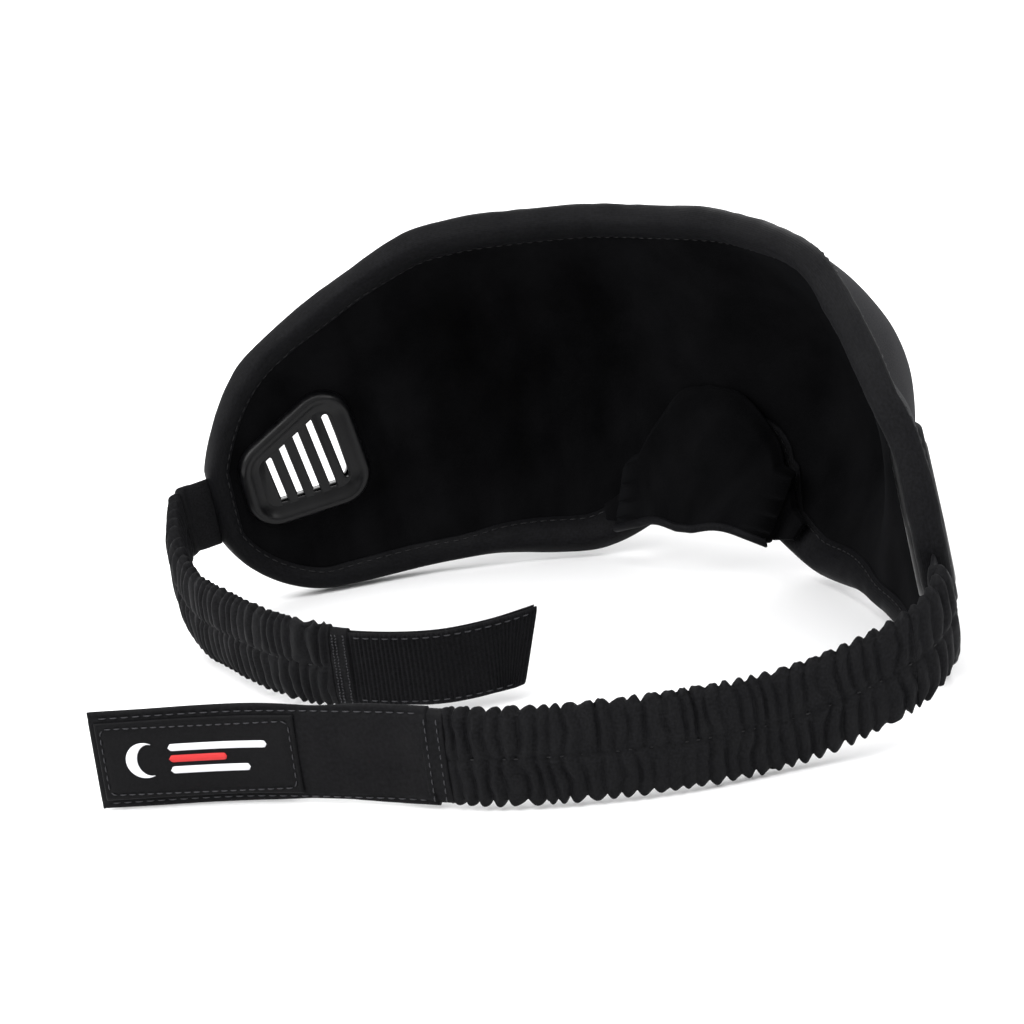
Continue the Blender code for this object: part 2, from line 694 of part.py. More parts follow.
def build():
    for old in list(bpy.data.objects):
        bpy.data.objects.remove(old, do_unlink=True)
    shell = material("shell_knit", (0.014, 0.014, 0.017), 0.82)
    foam = material("foam", (0.05, 0.05, 0.055), 0.9)
    velvet = material("velvet_lining", (0.006, 0.006, 0.007), 0.95)
    trim = material("edge_trim", (0.016, 0.016, 0.019), 0.7)
    hard = material("vent_plastic", (0.01, 0.01, 0.012), 0.22)
    looks = {
        "webbing": material("webbing", (0.012, 0.012, 0.014), 0.8),
        "elastic": material("elastic", (0.03, 0.03, 0.032), 0.7),
        "sleeve": material("ruched_sleeve", (0.014, 0.014, 0.016), 0.75),
        "fabric": material("tab_fabric", (0.012, 0.012, 0.014), 0.72),
        "tape": material("fastening_tape", (0.01, 0.01, 0.012), 0.85),
        "patch": material("patch", (0.009, 0.009, 0.011), 0.65),
    }

    layers = [face_layer("outer_shell", OUTER_FABRIC, shell),
              face_layer("foam_core", FOAM, foam),
              face_layer("inner_lining", LINING, velvet)]
    holes = [vent_block(f"{word}_vent_hole", side, FACE_HOLE, foam) for word, side in SIDES.items()]
    for layer in layers:
        combine(layer, "DIFFERENCE", holes)
    add_binding(trim)
    add_label(looks["patch"])
    hinge_height = BAFFLE_EDGE[0][1] - BAFFLE_HINGE_DROP
    add_baffle(velvet, trim, face_point(0.0, hinge_height, -(BINDING_HALF + BAFFLE_GAP)))
    for word, side in SIDES.items():
        add_vent(side, word, hard, trim)
    add_left_tab(add_strap("left", looks), looks)
    add_right_tab(add_strap("right", looks), looks)
    stand_on_floor(list(bpy.data.objects))


build()
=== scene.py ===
"""Looks of a contoured sleep eye mask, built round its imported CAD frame.

Shapes are worked out in millimetres and turned into metres when a mesh is made. A place on the
mask is (s, h): s is the distance along the face from the nose line, plus on the wearer's left,
and h is the height on the flat pattern. A place on a strap is (a, z): a runs along the strap
from the wing tip and z is the height above the middle of the band.
"""
import math

import bmesh
import bpy
import numpy as np
from mathutils import Matrix, Vector


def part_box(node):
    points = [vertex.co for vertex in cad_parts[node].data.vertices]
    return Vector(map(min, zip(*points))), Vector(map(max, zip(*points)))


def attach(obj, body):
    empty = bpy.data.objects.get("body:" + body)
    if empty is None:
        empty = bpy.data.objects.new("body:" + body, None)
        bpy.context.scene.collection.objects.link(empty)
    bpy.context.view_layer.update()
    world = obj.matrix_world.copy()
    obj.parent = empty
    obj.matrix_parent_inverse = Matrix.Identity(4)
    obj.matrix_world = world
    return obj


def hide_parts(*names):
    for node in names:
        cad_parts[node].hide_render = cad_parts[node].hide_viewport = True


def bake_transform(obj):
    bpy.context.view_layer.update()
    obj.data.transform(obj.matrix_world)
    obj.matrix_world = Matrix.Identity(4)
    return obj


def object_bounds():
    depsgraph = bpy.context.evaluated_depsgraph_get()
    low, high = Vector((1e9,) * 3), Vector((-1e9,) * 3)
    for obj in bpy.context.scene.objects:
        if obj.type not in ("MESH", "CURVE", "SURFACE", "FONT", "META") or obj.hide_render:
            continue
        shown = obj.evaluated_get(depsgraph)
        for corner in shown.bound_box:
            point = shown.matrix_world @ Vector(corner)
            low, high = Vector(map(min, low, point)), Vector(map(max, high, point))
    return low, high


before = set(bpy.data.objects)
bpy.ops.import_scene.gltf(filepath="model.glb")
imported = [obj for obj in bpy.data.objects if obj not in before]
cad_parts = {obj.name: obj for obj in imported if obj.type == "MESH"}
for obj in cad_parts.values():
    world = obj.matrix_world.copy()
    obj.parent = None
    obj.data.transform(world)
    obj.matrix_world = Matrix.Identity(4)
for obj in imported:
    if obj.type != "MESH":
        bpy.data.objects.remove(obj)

cad_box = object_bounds()
MM = 0.001
TURN = 2 * math.pi

# Camera, as the back view of the mask is seen: angles in degrees, distance in metres. It stands
# straight back from the pivot and then points at the aim, both places in the working frame.
VIEW_AZIMUTH = 215.74
VIEW_ELEVATION = 15.76
VIEW_ROLL = -6.67
VIEW_DISTANCE = 0.741
VIEW_LENS = 105.0
VIEW_PIVOT = (0.0, 20.0, 45.0)
VIEW_AIM = (26.8, 46.5, 24.1)

# Face pattern: the driving sizes of the CAD model, with a deeper crease between cup and wing.
PATTERN_HALF = 130.0
TIP_CUT = 1.5
TOP_EDGE = ((0, 93.5), (30, 94.0), (46, 94.2), (62, 93.0), (76, 88.6), (92, 81.2), (130, 59.0))
BOTTOM_EDGE = ((0, 33.5), (9, 26.0), (20, 6.2), (36, 0.5), (60, 2.3), (90, 1.8), (130, 4.0))
TOP_TIP_ROUND = 22.5
BOTTOM_TIP_ROUND = 29.5
WRAP = ((0, 0.0), (30, 24.5), (60, 30.5), (90, 46.0), (130, 47.5))
WRAP_STEP = 0.5
CROWN = 14.0
CUP_DEPTH = 14.0
CUP_START = (2.0, 26.0)
CUP_END = (47.0, 76.0)
CREASE_DEPTH = 2.4
CREASE_AT = 73.0
CREASE_WIDTH = 8.0
FEATURE_SLANT = 0.16
MID_HEIGHT = 41.0
LEAN_BACK = math.radians(5.0)
FACE_TOE = math.tan(math.radians(5.5))
WING_TOE = math.tan(math.radians(2.0))
EDGE_INSET = 2.3

# Layers of the face: (height of the outer side above the middle of the foam, thickness).
OUTER_FABRIC = (2.15, 0.7)
FOAM = (1.3, 2.6)
LINING = (-1.45, 0.7)
HOLE_INSET = 2.1

# Vents: bars across the front and slots through the rear plate.
VENT_AT = (103.3, 39.0)
VENT_CORNERS = ((-13.0, 22.5), (18.8, 5.0), (17.4, -16.5), (-18.2, -15.8))
VENT_ROUND = 9.0
VENT_FLAT = (20.0, 32.0)
SLAT_TILT = math.radians(10.0)
SLAT_PITCH = 4.3
SLOT_HALVES = (9.6, 10.8, 10.2, 9.0, 7.5)
SLOT_DROP = -1.5
SLOT_RADIUS = 1.0
STEP_DOWN = 0.3
BAR_COUNT = 5
BAR_FIRST = -1.75
BAR_RISE = 2.0
BAR_HALF = 0.78
BAR_MIDDLE = 1.65
BAR_DEPTH = 1.1
BAR_LIMIT = -5.0
STITCH_GROOVE = (-1.55, 2.65)
REAR_PLATE = (-5.6, -3.4, -2.3)
SLOT_CUT = (-6.0, 0.0)
PLATE_BEVEL = 0.22

# Nose baffle. The sewn foot of the flap runs on past the hem on each side.
BAFFLE_THICK = 1.2
BAFFLE_BACK = 4.5
BAFFLE_EDGE = ((0, 42.0), (5, 41.0), (14, 29.0), (23, 17.5), (30, 11.3))
BAFFLE_TOP = BAFFLE_EDGE[0][1]
BAFFLE_HALF = BAFFLE_EDGE[-1][0]
BAFFLE_HEM = 3.4
BAFFLE_BELLY = 8.0
BAFFLE_NARROWING = 0.3
FLAP_FOOT = (38.0, 8.0)
HEM_HEIGHT = 1.8
FLAP_ROOT = 0.16

# Straps: routes seen from above, and places along them.
ANCHOR_LENGTH = 4.0
ANCHOR_GAP = 0.4
JOIN_GAP = 0.3
TIP_HEIGHT = 31.0
FLOOR = 9.5
ROOT_RUN = 2.5
LEFT_ROUTE = ((109.5, 79.5, 22.5), (105.5, 85.5, 17.5), (98, 92, 12.5), (87, 98.8, FLOOR),
              (73, 105.5, FLOOR), (58, 111.5, FLOOR), (45.5, 115.3, FLOOR), (31, 116.8, FLOOR),
              (15.5, 114.5, FLOOR), (3, 109, FLOOR), (-5, 99.5, FLOOR), (-10, 87.8, FLOOR))
RIGHT_ROUTE = ((-112, 77, 24), (-111.5, 87, 19), (-102.5, 97.5, 13.5), (-89.5, 110.5, FLOOR),
               (-71.5, 130.5, FLOOR), (-44.5, 147.6, FLOOR), (-14.5, 156.3, FLOOR),
               (14, 165.5, FLOOR), (41, 179.4, FLOOR), (44.3, 181.4, FLOOR))
SLEEVE_HEIGHTS = {1: 20.6, -1: 22.0}
SLEEVE_ENDS = {1: 102.0, -1: 124.0}
SEAM_LENGTH = 3.0
GATHER_PITCH = 3.3
ROOT_HEIGHT = 18.4
ROOT_SPLIT = 21.0
ROOT_BEND = (-1.0, 14.0)
STRETCH_RUN = 45.0
LEAN_RUN = 14.0

# Light and floor. Each light: angle from the view, elevation, distance, size and power.
LIGHTS = {
    "key": (-62, 38, 1.3, 0.9, 14.0),
    "fill": (70, 30, 1.4, 1.0, 8.0),
    "top": (0, 80, 1.3, 1.2, 12.0),
    "front": (180, 35, 1.4, 1.1, 12.0),
}
SKY_STRENGTH = 0.85
FLOOR_RADIUS = 6.0


# ---------------------------------------------------------------- shape of the face


def smooth(value, low, high):
    t = np.clip((value - low) / (high - low), 0.0, 1.0)
    return t * t * (3.0 - 2.0 * t)


def through(points, x):
    """Values at x of a smooth curve through points that never overshoots them."""
    xs, ys = np.array(points, float).T
    x = np.clip(x, xs[0], xs[-1])
    steps = np.diff(xs)
    rises = np.diff(ys) / steps
    before, after = rises[:-1], rises[1:]
    w1 = 2 * steps[1:] + steps[:-1]
    w2 = steps[1:] + 2 * steps[:-1]
    bent = before * after > 0
    safe = np.where(bent, before, 1.0), np.where(bent, after, 1.0)
    slopes = np.concatenate((rises[:1], np.where(bent, (w1 + w2) / (w1 / safe[0] + w2 / safe[1]), 0.0),
                             rises[-1:]))
    i = np.clip(np.searchsorted(xs, x, side="right") - 1, 0, len(steps) - 1)
    t = (x - xs[i]) / steps[i]
    near = ys[i] * (1 + 2 * t) * (1 - t) ** 2 + slopes[i] * steps[i] * t * (1 - t) ** 2
    return near + ys[i + 1] * t * t * (3 - 2 * t) + slopes[i + 1] * steps[i] * t * t * (t - 1)


WRAP_MARKS = np.arange(int(PATTERN_HALF / WRAP_STEP) + 9) * WRAP_STEP
WRAP_MIDDLES = np.radians(through(WRAP, WRAP_MARKS[:-1] + WRAP_STEP / 2))
WRAP_X = np.concatenate(((0.0,), np.cumsum(np.cos(WRAP_MIDDLES) * WRAP_STEP)))
WRAP_Y = np.concatenate(((0.0,), np.cumsum(np.sin(WRAP_MIDDLES) * WRAP_STEP)))
WRAP_HEADING = np.radians(through(WRAP, WRAP_MARKS))


def bulge(s, h):
    """How far the moulded face stands out from its plan line."""
    a = np.abs(s)
    low = np.minimum(through(BOTTOM_EDGE, a), 8.0)
    high = through(TOP_EDGE, a)
    t = (2 * h - low - high) / (high - low)
    dome = 1.0 - t * t
    along = a - FEATURE_SLANT * (h - MID_HEIGHT)
    cup = CUP_DEPTH * smooth(a, *CUP_START) * (1.0 - smooth(along, *CUP_END))
    crease = CREASE_DEPTH * np.exp(-((along - CREASE_AT) / CREASE_WIDTH) ** 2)
    wing = (a / PATTERN_HALF) ** 2
    out = (CROWN * (1.0 - wing) + cup - crease) * dome
    return out - (FACE_TOE * (1.0 - wing) + WING_TOE * wing) * (h - MID_HEIGHT)


def moulded(s, h):
    s, h = np.broadcast_arrays(np.asarray(s, float), np.asarray(h, float))
    a, side = np.abs(s), np.where(s >= 0, 1.0, -1.0)
    x, y = np.interp(a, WRAP_MARKS, WRAP_X), np.interp(a, WRAP_MARKS, WRAP_Y)
    heading = np.interp(a, WRAP_MARKS, WRAP_HEADING)
    d = bulge(s, h)
    px, py = side * (x + np.sin(heading) * d), y - np.cos(heading) * d
    c, k = math.cos(LEAN_BACK), math.sin(LEAN_BACK)
    return np.stack((px, py * c + h * k, h * c - py * k), -1)


def unit(vectors):
    return vectors / np.linalg.norm(vectors, axis=-1, keepdims=True)


def run_along(points):
    """Distance along a path at each of its points."""
    return np.concatenate(((0.0,), np.cumsum(np.linalg.norm(np.diff(points, axis=0), axis=1))))


def uv_grid(along, around):
    return np.stack(np.meshgrid(along, around, indexing="ij"), -1)


def tangent_frame(shape, s, h):
    """Point, direction of growing s, outward normal and in-face up at places on a surface."""
    e = 0.05
    along = unit(shape(s + e, h) - shape(s - e, h))
    normal = unit(np.cross(along, shape(s, h + e) - shape(s, h - e)))
    return shape(s, h), along, normal, np.cross(normal, along)


VENT_FRAMES = {side: tangent_frame(moulded, side * VENT_AT[0], VENT_AT[1]) for side in (-1, 1)}


def face(s, h):
    """The moulded face, made flat round each vent so that the hard parts seat on it."""
    point = moulded(s, h)
    s, h = np.broadcast_arrays(np.asarray(s, float), np.asarray(h, float))
    reach = np.hypot(np.abs(s) - VENT_AT[0], h - VENT_AT[1])
    level = 1.0 - smooth(reach, *VENT_FLAT)
    for side in (-1, 1):
        centre, _, normal, _ = VENT_FRAMES[side]
        stands = ((point - centre) @ normal) * level * (side * s > 0)
        point = point - normal * stands[..., None]
    return point


def on_face(s, h, offset=0.0):
    """Points at places on the face, lifted out of it by offset."""
    point, _, normal, _ = tangent_frame(face, s, h)
    return point + normal * np.asarray(offset)[..., None]


def raw_edges(a):
    middle = (TOP_EDGE[-1][1] + BOTTOM_EDGE[-1][1]) / 2
    up = np.sqrt(1 - np.maximum(0.0, (a - PATTERN_HALF + TOP_TIP_ROUND) / TOP_TIP_ROUND) ** 2)
    down = np.sqrt(1 - np.maximum(0.0, (a - PATTERN_HALF + BOTTOM_TIP_ROUND) / BOTTOM_TIP_ROUND) ** 2)
    low = middle + (through(BOTTOM_EDGE, a) - middle) * down
    return low, middle + (through(TOP_EDGE, a) - middle) * up


def edges(s, inset=0.0):
    """Heights of the bottom and top edge at s, with the round wing tips, drawn in by inset."""
    reach = PATTERN_HALF - TIP_CUT
    a = np.minimum(np.abs(s) * reach / (reach - inset), reach)
    after, before = np.minimum(a + 0.2, reach), np.maximum(a - 0.2, 0.0)
    low, top = raw_edges(a)
    slopes = [(p - q) / (after - before) for p, q in zip(raw_edges(after), raw_edges(before))]
    lengths = [np.sqrt(1 + np.minimum(np.abs(slope), 3.0) ** 2) for slope in slopes]
    return low + inset * lengths[0], top - inset * lengths[1]


def outline(spacing):
    """Places (s, h) every so often round the edge of the face, and their inward directions."""
    reach = PATTERN_HALF - TIP_CUT
    fine = reach * np.sin(np.linspace(0, math.pi / 2, 400))
    low, top = edges(fine)
    lower = np.stack((fine, low), -1)
    upper = np.stack((fine, top), -1)
    mirror = np.array((-1.0, 1.0))
    loop = np.concatenate((lower[:0:-1] * mirror, lower, upper[::-1], upper[1:] * mirror))
    loop = np.vstack((loop, loop[:1]))
    run = run_along(loop)
    marks = np.linspace(0, run[-1], int(run[-1] / spacing), endpoint=False)

    def place(mark):
        return np.stack([np.interp(mark % run[-1], run, loop[:, k]) for k in (0, 1)], -1)

    way = unit(place(marks + 1.2) - place(marks - 1.2))
    return place(marks), np.stack((-way[:, 1], way[:, 0]), -1), marks


# ---------------------------------------------------------------- small tools


def noise(x, scale, seed):
    """Smooth repeatable noise in -1 to 1 along a line."""
    values = np.random.default_rng(seed).uniform(-1, 1, 256)
    at = np.asarray(x, float) / scale + 64.0
    i = np.floor(at).astype(int)
    t = at - i
    t = t * t * (3 - 2 * t)
    return values[i % 256] * (1 - t) + values[(i + 1) % 256] * t


def noise2(x, y, scale, seed):
    """Smooth repeatable noise in -1 to 1 over a plane."""
    values = np.random.default_rng(seed).uniform(-1, 1, (128, 128))
    x, y = np.broadcast_arrays(np.asarray(x, float) / scale + 40.0, np.asarray(y, float) / scale + 40.0)
    i, j = np.floor(x).astype(int), np.floor(y).astype(int)
    u, v = x - i, y - j
    u, v = u * u * (3 - 2 * u), v * v * (3 - 2 * v)
    i, j = i % 128, j % 128
    k, m = (i + 1) % 128, (j + 1) % 128
    return ((values[i, j] * (1 - u) + values[k, j] * u) * (1 - v)
            + (values[i, m] * (1 - u) + values[k, m] * u) * v)


def rounded(grow=0.0, arc=12):
    """Points (u, v) of the vent outline with its round corners, grown or drawn in."""
    pts = np.array(VENT_CORNERS)
    out = []
    for i in range(4):
        before, here, after = pts[i - 1], pts[i], pts[(i + 1) % 4]
        a, b = unit(here - before), unit(after - here)
        bend = math.acos(float(a @ b))
        middle = here + unit(b - a) * VENT_ROUND / math.cos(bend / 2)
        start, end = np.array((-a[1], a[0])), np.array((-b[1], b[0]))
        for k in range(arc + 1):
            out.append(middle + unit(start * (1 - k / arc) + end * (k / arc)) * (VENT_ROUND + grow))
    return np.array(out)


def on_vent(side, u, v, w):
    """Places on a vent: u along the wing, v up and w out of the face, from the vent's middle."""
    centre, along, normal, up = VENT_FRAMES[side]
    u, v, w = np.broadcast_arrays(u, v, w)
    return (centre + along * side * np.asarray(u, float)[..., None] + up * np.asarray(v, float)[..., None]
            + normal * np.asarray(w, float)[..., None])


class Strap:
    """A strap half: a smooth route with places measured along it from the wing tip."""

    def __init__(self, side, route):
        self.side = side
        tip, along, _, self.lean = tangent_frame(face, side * (PATTERN_HALF - TIP_CUT), TIP_HEIGHT)
        self.out = along * side
        self.axis = tip + self.out * (JOIN_GAP + ANCHOR_LENGTH + ANCHOR_GAP)
        knots = [self.axis, self.axis + self.out * ROOT_RUN] + [np.array(p, float) for p in route]
        ends = [2 * knots[0] - knots[1]] + knots + [2 * knots[-1] - knots[-2]]
        fine = []
        for a, b, c, d in zip(ends, ends[1:], ends[2:], ends[3:]):
            for t in np.arange(24) / 24:
                fine.append(0.5 * (2 * b + (c - a) * t + (2 * a - 5 * b + 4 * c - d) * t * t
                                   + (3 * b - a - 3 * c + d) * t ** 3))
        self.points = np.array(fine + [knots[-1]])
        self.run = run_along(self.points)
        self.length = float(self.run[-1])

    def at(self, a):
        a = np.asarray(a, float)
        on = np.stack([np.interp(a, self.run, self.points[:, k]) for k in range(3)], -1)
        return on + self.out * np.minimum(a, 0.0)[..., None]

    def frame(self, a):
        """Points, ways along, sides away from the head and ups; the band stands upright and leans
        at its root."""
        a = np.asarray(a, float)
        ahead = self.at(np.minimum(a + 1.5, self.length)) - self.at(a - 1.5)
        lean = (1.0 - smooth(a, 0.0, LEAN_RUN))[..., None]
        up = unit(self.lean * lean + np.array((0.0, 0.0, 1.0)) * (1 - lean))
        ahead = unit(ahead - up * np.sum(ahead * up, -1, keepdims=True))
        return self.at(a), ahead, np.cross(ahead, up) * self.side, up

    def place(self, a, z, out):
        """Points at (a, z), out sideways from the middle of the band."""
        point, _, aside, up = self.frame(a)
        return point + up * np.asarray(z, float)[..., None] + aside * np.asarray(out, float)[..., None]


STRAPS = {1: Strap(1, LEFT_ROUTE), -1: Strap(-1, RIGHT_ROUTE)}
WORDS = {1: "left", -1: "right"}


def cad_shift():
    """Where the CAD frame has the mask, measured at the anchor tabs: millimetres to add."""
    found = []
    for side, word in WORDS.items():
        low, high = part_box(f"{word}_anchor_tab")
        middle = (np.array(low) + np.array(high)) / 2 / MM
        strap = STRAPS[side]
        found.append(middle - (strap.axis - strap.out * (ANCHOR_GAP + ANCHOR_LENGTH / 2)))
    return sum(found) / len(found)


SHIFT = cad_shift()


def to_world(point):
    return tuple((np.asarray(point, float) + SHIFT) * MM)


def finish_mesh(name, points, polygons, corner_uv, look):
    mesh = bpy.data.meshes.new(name)
    mesh.from_pydata(((points + SHIFT) * MM).tolist(), [], polygons)
    layer = mesh.uv_layers.new(name="UVMap")
    layer.data.foreach_set("uv", np.asarray(corner_uv, np.float32).ravel())
    mesh.materials.append(look)
    made = bpy.data.objects.new(name, mesh)
    bpy.context.collection.objects.link(made)
    builder = bmesh.new()
    builder.from_mesh(mesh)
    bmesh.ops.recalc_face_normals(builder, faces=builder.faces)
    builder.to_mesh(mesh)
    builder.free()
    mesh.shade_smooth()
    return made


def skin(name, points, uv, look, wrap_rows=False, wrap_cols=False, caps=False):
    """A surface through a grid of points. A wrapped direction closes on itself, and its uv grid
    has one more line than the points have; caps fill the two ends of a tube."""
    rows, cols = points.shape[:2]
    i, j = np.meshgrid(np.arange(rows - 1 + wrap_rows), np.arange(cols - 1 + wrap_cols), indexing="ij")
    i, j = i.ravel(), j.ravel()
    corners = ((i, j), (i, j + 1), (i + 1, j + 1), (i + 1, j))
    quads = np.stack([(a % rows) * cols + b % cols for a, b in corners], 1).tolist()
    corner_uv = np.stack([uv[a, b] for a, b in corners], 1).reshape(-1, 2)
    if caps:
        ends = [list(range(cols)), list(range((rows - 1) * cols, rows * cols))[::-1]]
        corner_uv = np.concatenate([corner_uv] + [uv[[0, -1][k], :cols] for k in (0, 1)])
        quads = quads + ends
    return finish_mesh(name, points.reshape(-1, 3), quads, corner_uv, look)


def joined(name, parts):
    """Joins meshes that share one material into one object."""
    first = parts[0]
    with bpy.context.temp_override(active_object=first, object=first, selected_objects=parts,
                                   selected_editable_objects=parts):
        bpy.ops.object.join()
    first.name = name
    first.data.name = name
    return first


def apply_modifiers(piece):
    graph = bpy.context.evaluated_depsgraph_get()
    done = bpy.data.meshes.new_from_object(piece.evaluated_get(graph), preserve_all_data_layers=True,
                                           depsgraph=graph)
    piece.modifiers.clear()
    old = piece.data
    piece.data = done
    bpy.data.meshes.remove(old)
    done.name = piece.name
    return piece


def carve(piece, cutters, bevel=0.0):
    """Cuts closed shapes out of a piece, and rounds the new edges."""
    for cutter in cutters:
        step = piece.modifiers.new("cut", "BOOLEAN")
        step.operation = "DIFFERENCE"
        step.solver = "EXACT"
        step.object = cutter
    if bevel:
        soft = piece.modifiers.new("soft_edges", "BEVEL")
        soft.width = bevel * MM
        soft.segments = 2
        soft.angle_limit = math.radians(40)
    apply_modifiers(piece)
    for cutter in cutters:
        bpy.data.objects.remove(cutter, do_unlink=True)
    return piece


def prism(name, ring_uv, side, low, high, look):
    """A straight-sided solid through a vent, from an outline of (u, v) places."""
    rings = np.stack([on_vent(side, ring_uv[:, 0], ring_uv[:, 1], w) for w in (low, high)])
    uv = np.zeros((2, len(ring_uv) + 1, 2))
    uv[:, :-1] = ring_uv
    uv[:, -1] = ring_uv[0]
    return skin(name, rings, uv, look, wrap_cols=True, caps=True)


def keep(piece, body, slot, *nodes):
    """Gives a piece its body and hides the CAD nodes that it stands for; slot, its finish, is not used. A
    piece that bends between two bodies has no body of its own here."""
    if body:
        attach(piece, body)
    if nodes:
        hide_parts(*nodes)
    return piece


def stitches(name, path, normals, look, pitch=3.0, length=2.1, thread=0.2, lift=0.08, closed=False):
    """A row of sewn stitches along a path of points, each one a short thread that dips at its ends."""
    if closed:
        path = np.vstack((path, path[:1]))
        normals = np.vstack((normals, normals[:1]))
    run = run_along(path)
    count = max(1, int(run[-1] / pitch))
    starts = np.arange(count) * run[-1] / count
    share = np.linspace(0, 1, 6)
    marks = np.minimum(starts[:, None] + share * length, run[-1])

    def read(values, at):
        return np.stack([np.interp(at, run, values[:, k]) for k in range(3)], -1)

    centre, normal = read(path, marks), unit(read(normals, marks))
    way = unit(read(path, marks + 0.3) - read(path, marks - 0.3) + 1e-9)
    aside = np.cross(way, normal)
    hump = np.sin(share * math.pi)
    centre = centre + normal * (lift + (hump - 0.75) * thread)[None, :, None]
    radius = thread * (0.45 + 0.55 * np.sqrt(hump))
    turn = np.arange(7) / 7 * TURN
    rings = centre[:, :, None, :] + radius[None, :, None, None] * (
        aside[:, :, None, :] * np.cos(turn)[:, None] + normal[:, :, None, :] * np.sin(turn)[:, None] * 0.8)
    sides, stations = len(turn), len(share)
    polygons = []
    for c in range(count):
        base = c * sides * stations
        for r in range(stations - 1):
            for k in range(sides):
                a, b = base + r * sides + k, base + r * sides + (k + 1) % sides
                polygons.append((a, b, b + sides, a + sides))
        polygons.append(tuple(base + k for k in range(sides)))
        polygons.append(tuple(base + (stations - 1) * sides + k for k in reversed(range(sides))))
    uv = np.stack(np.broadcast_arrays(marks[:, :, None], turn[None, None, :]), -1).reshape(-1, 2)
    corner_uv = np.concatenate([uv[list(p)] for p in polygons])
    return finish_mesh(name, rings.reshape(-1, 3), polygons, corner_uv, look)


# ---------------------------------------------------------------- materials


COOL = (0.66, 0.68, 0.76)


class Nodes:
    """Short hand for building one material's nodes. Patterns are placed by the UVs, in millimetres."""

    def __init__(self, name, colour, roughness):
        self.material = bpy.data.materials.new(name)
        self.material.use_nodes = True
        self.tree = self.material.node_tree
        self.shader = self.tree.nodes["Principled BSDF"]
        self.shader.inputs["Base Color"].default_value = (*colour, 1.0)
        self.shader.inputs["Roughness"].default_value = roughness
        self.uv = self.add("ShaderNodeTexCoord").outputs["UV"]
        self.height = None

    def add(self, kind, **settings):
        node = self.tree.nodes.new(kind)
        for key, value in settings.items():
            setattr(node, key, value)
        return node

    def link(self, source, target):
        self.tree.links.new(source, target)

    def stretched(self, scale_u, scale_v, angle=0.0):
        mapping = self.add("ShaderNodeMapping")
        mapping.inputs["Scale"].default_value = (scale_u, scale_v, 1.0)
        mapping.inputs["Rotation"].default_value = (0.0, 0.0, angle)
        self.link(self.uv, mapping.inputs["Vector"])
        return mapping.outputs["Vector"]

    def grain(self, scale, detail=2.0, stretch=(1.0, 1.0), angle=0.0):
        """Noise with about scale grains in a millimetre."""
        texture = self.add("ShaderNodeTexNoise")
        texture.inputs["Scale"].default_value = scale
        texture.inputs["Detail"].default_value = detail
        self.link(self.stretched(*stretch, angle), texture.inputs["Vector"])
        return texture.outputs["Fac"]

    def ribs(self, pitch, along_u=True, angle=0.0, distortion=0.0):
        """Even ribs, one every pitch millimetres."""
        texture = self.add("ShaderNodeTexWave", bands_direction="X" if along_u else "Y")
        texture.inputs["Scale"].default_value = 1.0
        texture.inputs["Distortion"].default_value = distortion
        size = math.pi / 10 / pitch
        self.link(self.stretched(size, size, angle), texture.inputs["Vector"])
        return texture.outputs["Fac"]

    def cells(self, scale):
        texture = self.add("ShaderNodeTexVoronoi")
        texture.inputs["Scale"].default_value = scale
        self.link(self.uv, texture.inputs["Vector"])
        return texture.outputs["Distance"]

    def mix(self, operation, a, b):
        node = self.add("ShaderNodeMath", operation=operation)
        for socket, value in zip(node.inputs, (a, b)):
            if isinstance(value, (int, float)):
                socket.default_value = value
            else:
                self.link(value, socket)
        return node.outputs["Value"]

    def ramp(self, source, stops, target):
        """Drives a socket from source, through stops of (position, colour or value)."""
        node = self.add("ShaderNodeValToRGB")
        for element, (position, value) in zip(node.color_ramp.elements, (stops[0], stops[-1])):
            element.position = position
            element.color = (*value, 1.0) if isinstance(value, tuple) else (value, value, value, 1.0)
        for position, value in stops[1:-1]:
            element = node.color_ramp.elements.new(position)
            element.color = (*value, 1.0) if isinstance(value, tuple) else (value, value, value, 1.0)
        self.link(source, node.inputs["Fac"])
        self.link(node.outputs["Color"], self.shader.inputs[target])

    def bump(self, source, strength, distance):
        node = self.add("ShaderNodeBump")
        node.inputs["Strength"].default_value = strength
        node.inputs["Distance"].default_value = distance * MM
        self.link(source, node.inputs["Height"])
        if self.height:
            self.link(self.height, node.inputs["Normal"])
        self.height = node.outputs["Normal"]
        self.link(self.height, self.shader.inputs["Normal"])

    def sheen(self, weight, roughness, tint):
        self.shader.inputs["Sheen Weight"].default_value = weight
        self.shader.inputs["Sheen Roughness"].default_value = roughness
        self.shader.inputs["Sheen Tint"].default_value = (*tint, 1.0)


def shades(dark, light, steps=3):
    """Colour stops from dark to light for a cloth's grain."""
    dark, light = np.array(dark), np.array(light)
    return [(0.3 + 0.4 * t, tuple(dark + (light - dark) * t)) for t in np.linspace(0, 1, steps)]


def shell_knit():
    """Fine matt knit laminated to foam: speckled black with a cool sheen at grazing angles."""
    n = Nodes("shell_knit_look", (0.012, 0.012, 0.015), 0.78)
    wear = n.grain(0.05, 3.0)
    speck = n.mix("MULTIPLY", n.grain(2.6, 2.0), n.mix("ADD", n.mix("MULTIPLY", wear, 0.5), 0.75))
    n.ramp(speck, shades((0.0015, 0.0015, 0.0018), (0.013, 0.013, 0.0148)), "Base Color")
    n.ramp(wear, [(0.3, 0.72), (0.7, 0.86)], "Roughness")
    n.bump(n.grain(1.7, 3.0), 0.45, 0.14)
    n.bump(n.ribs(0.42, True, math.radians(90)), 0.25, 0.08)
    n.sheen(0.015, 0.42, (0.62, 0.64, 0.74))
    n.shader.inputs["Specular IOR Level"].default_value = 0.08
    return n.material


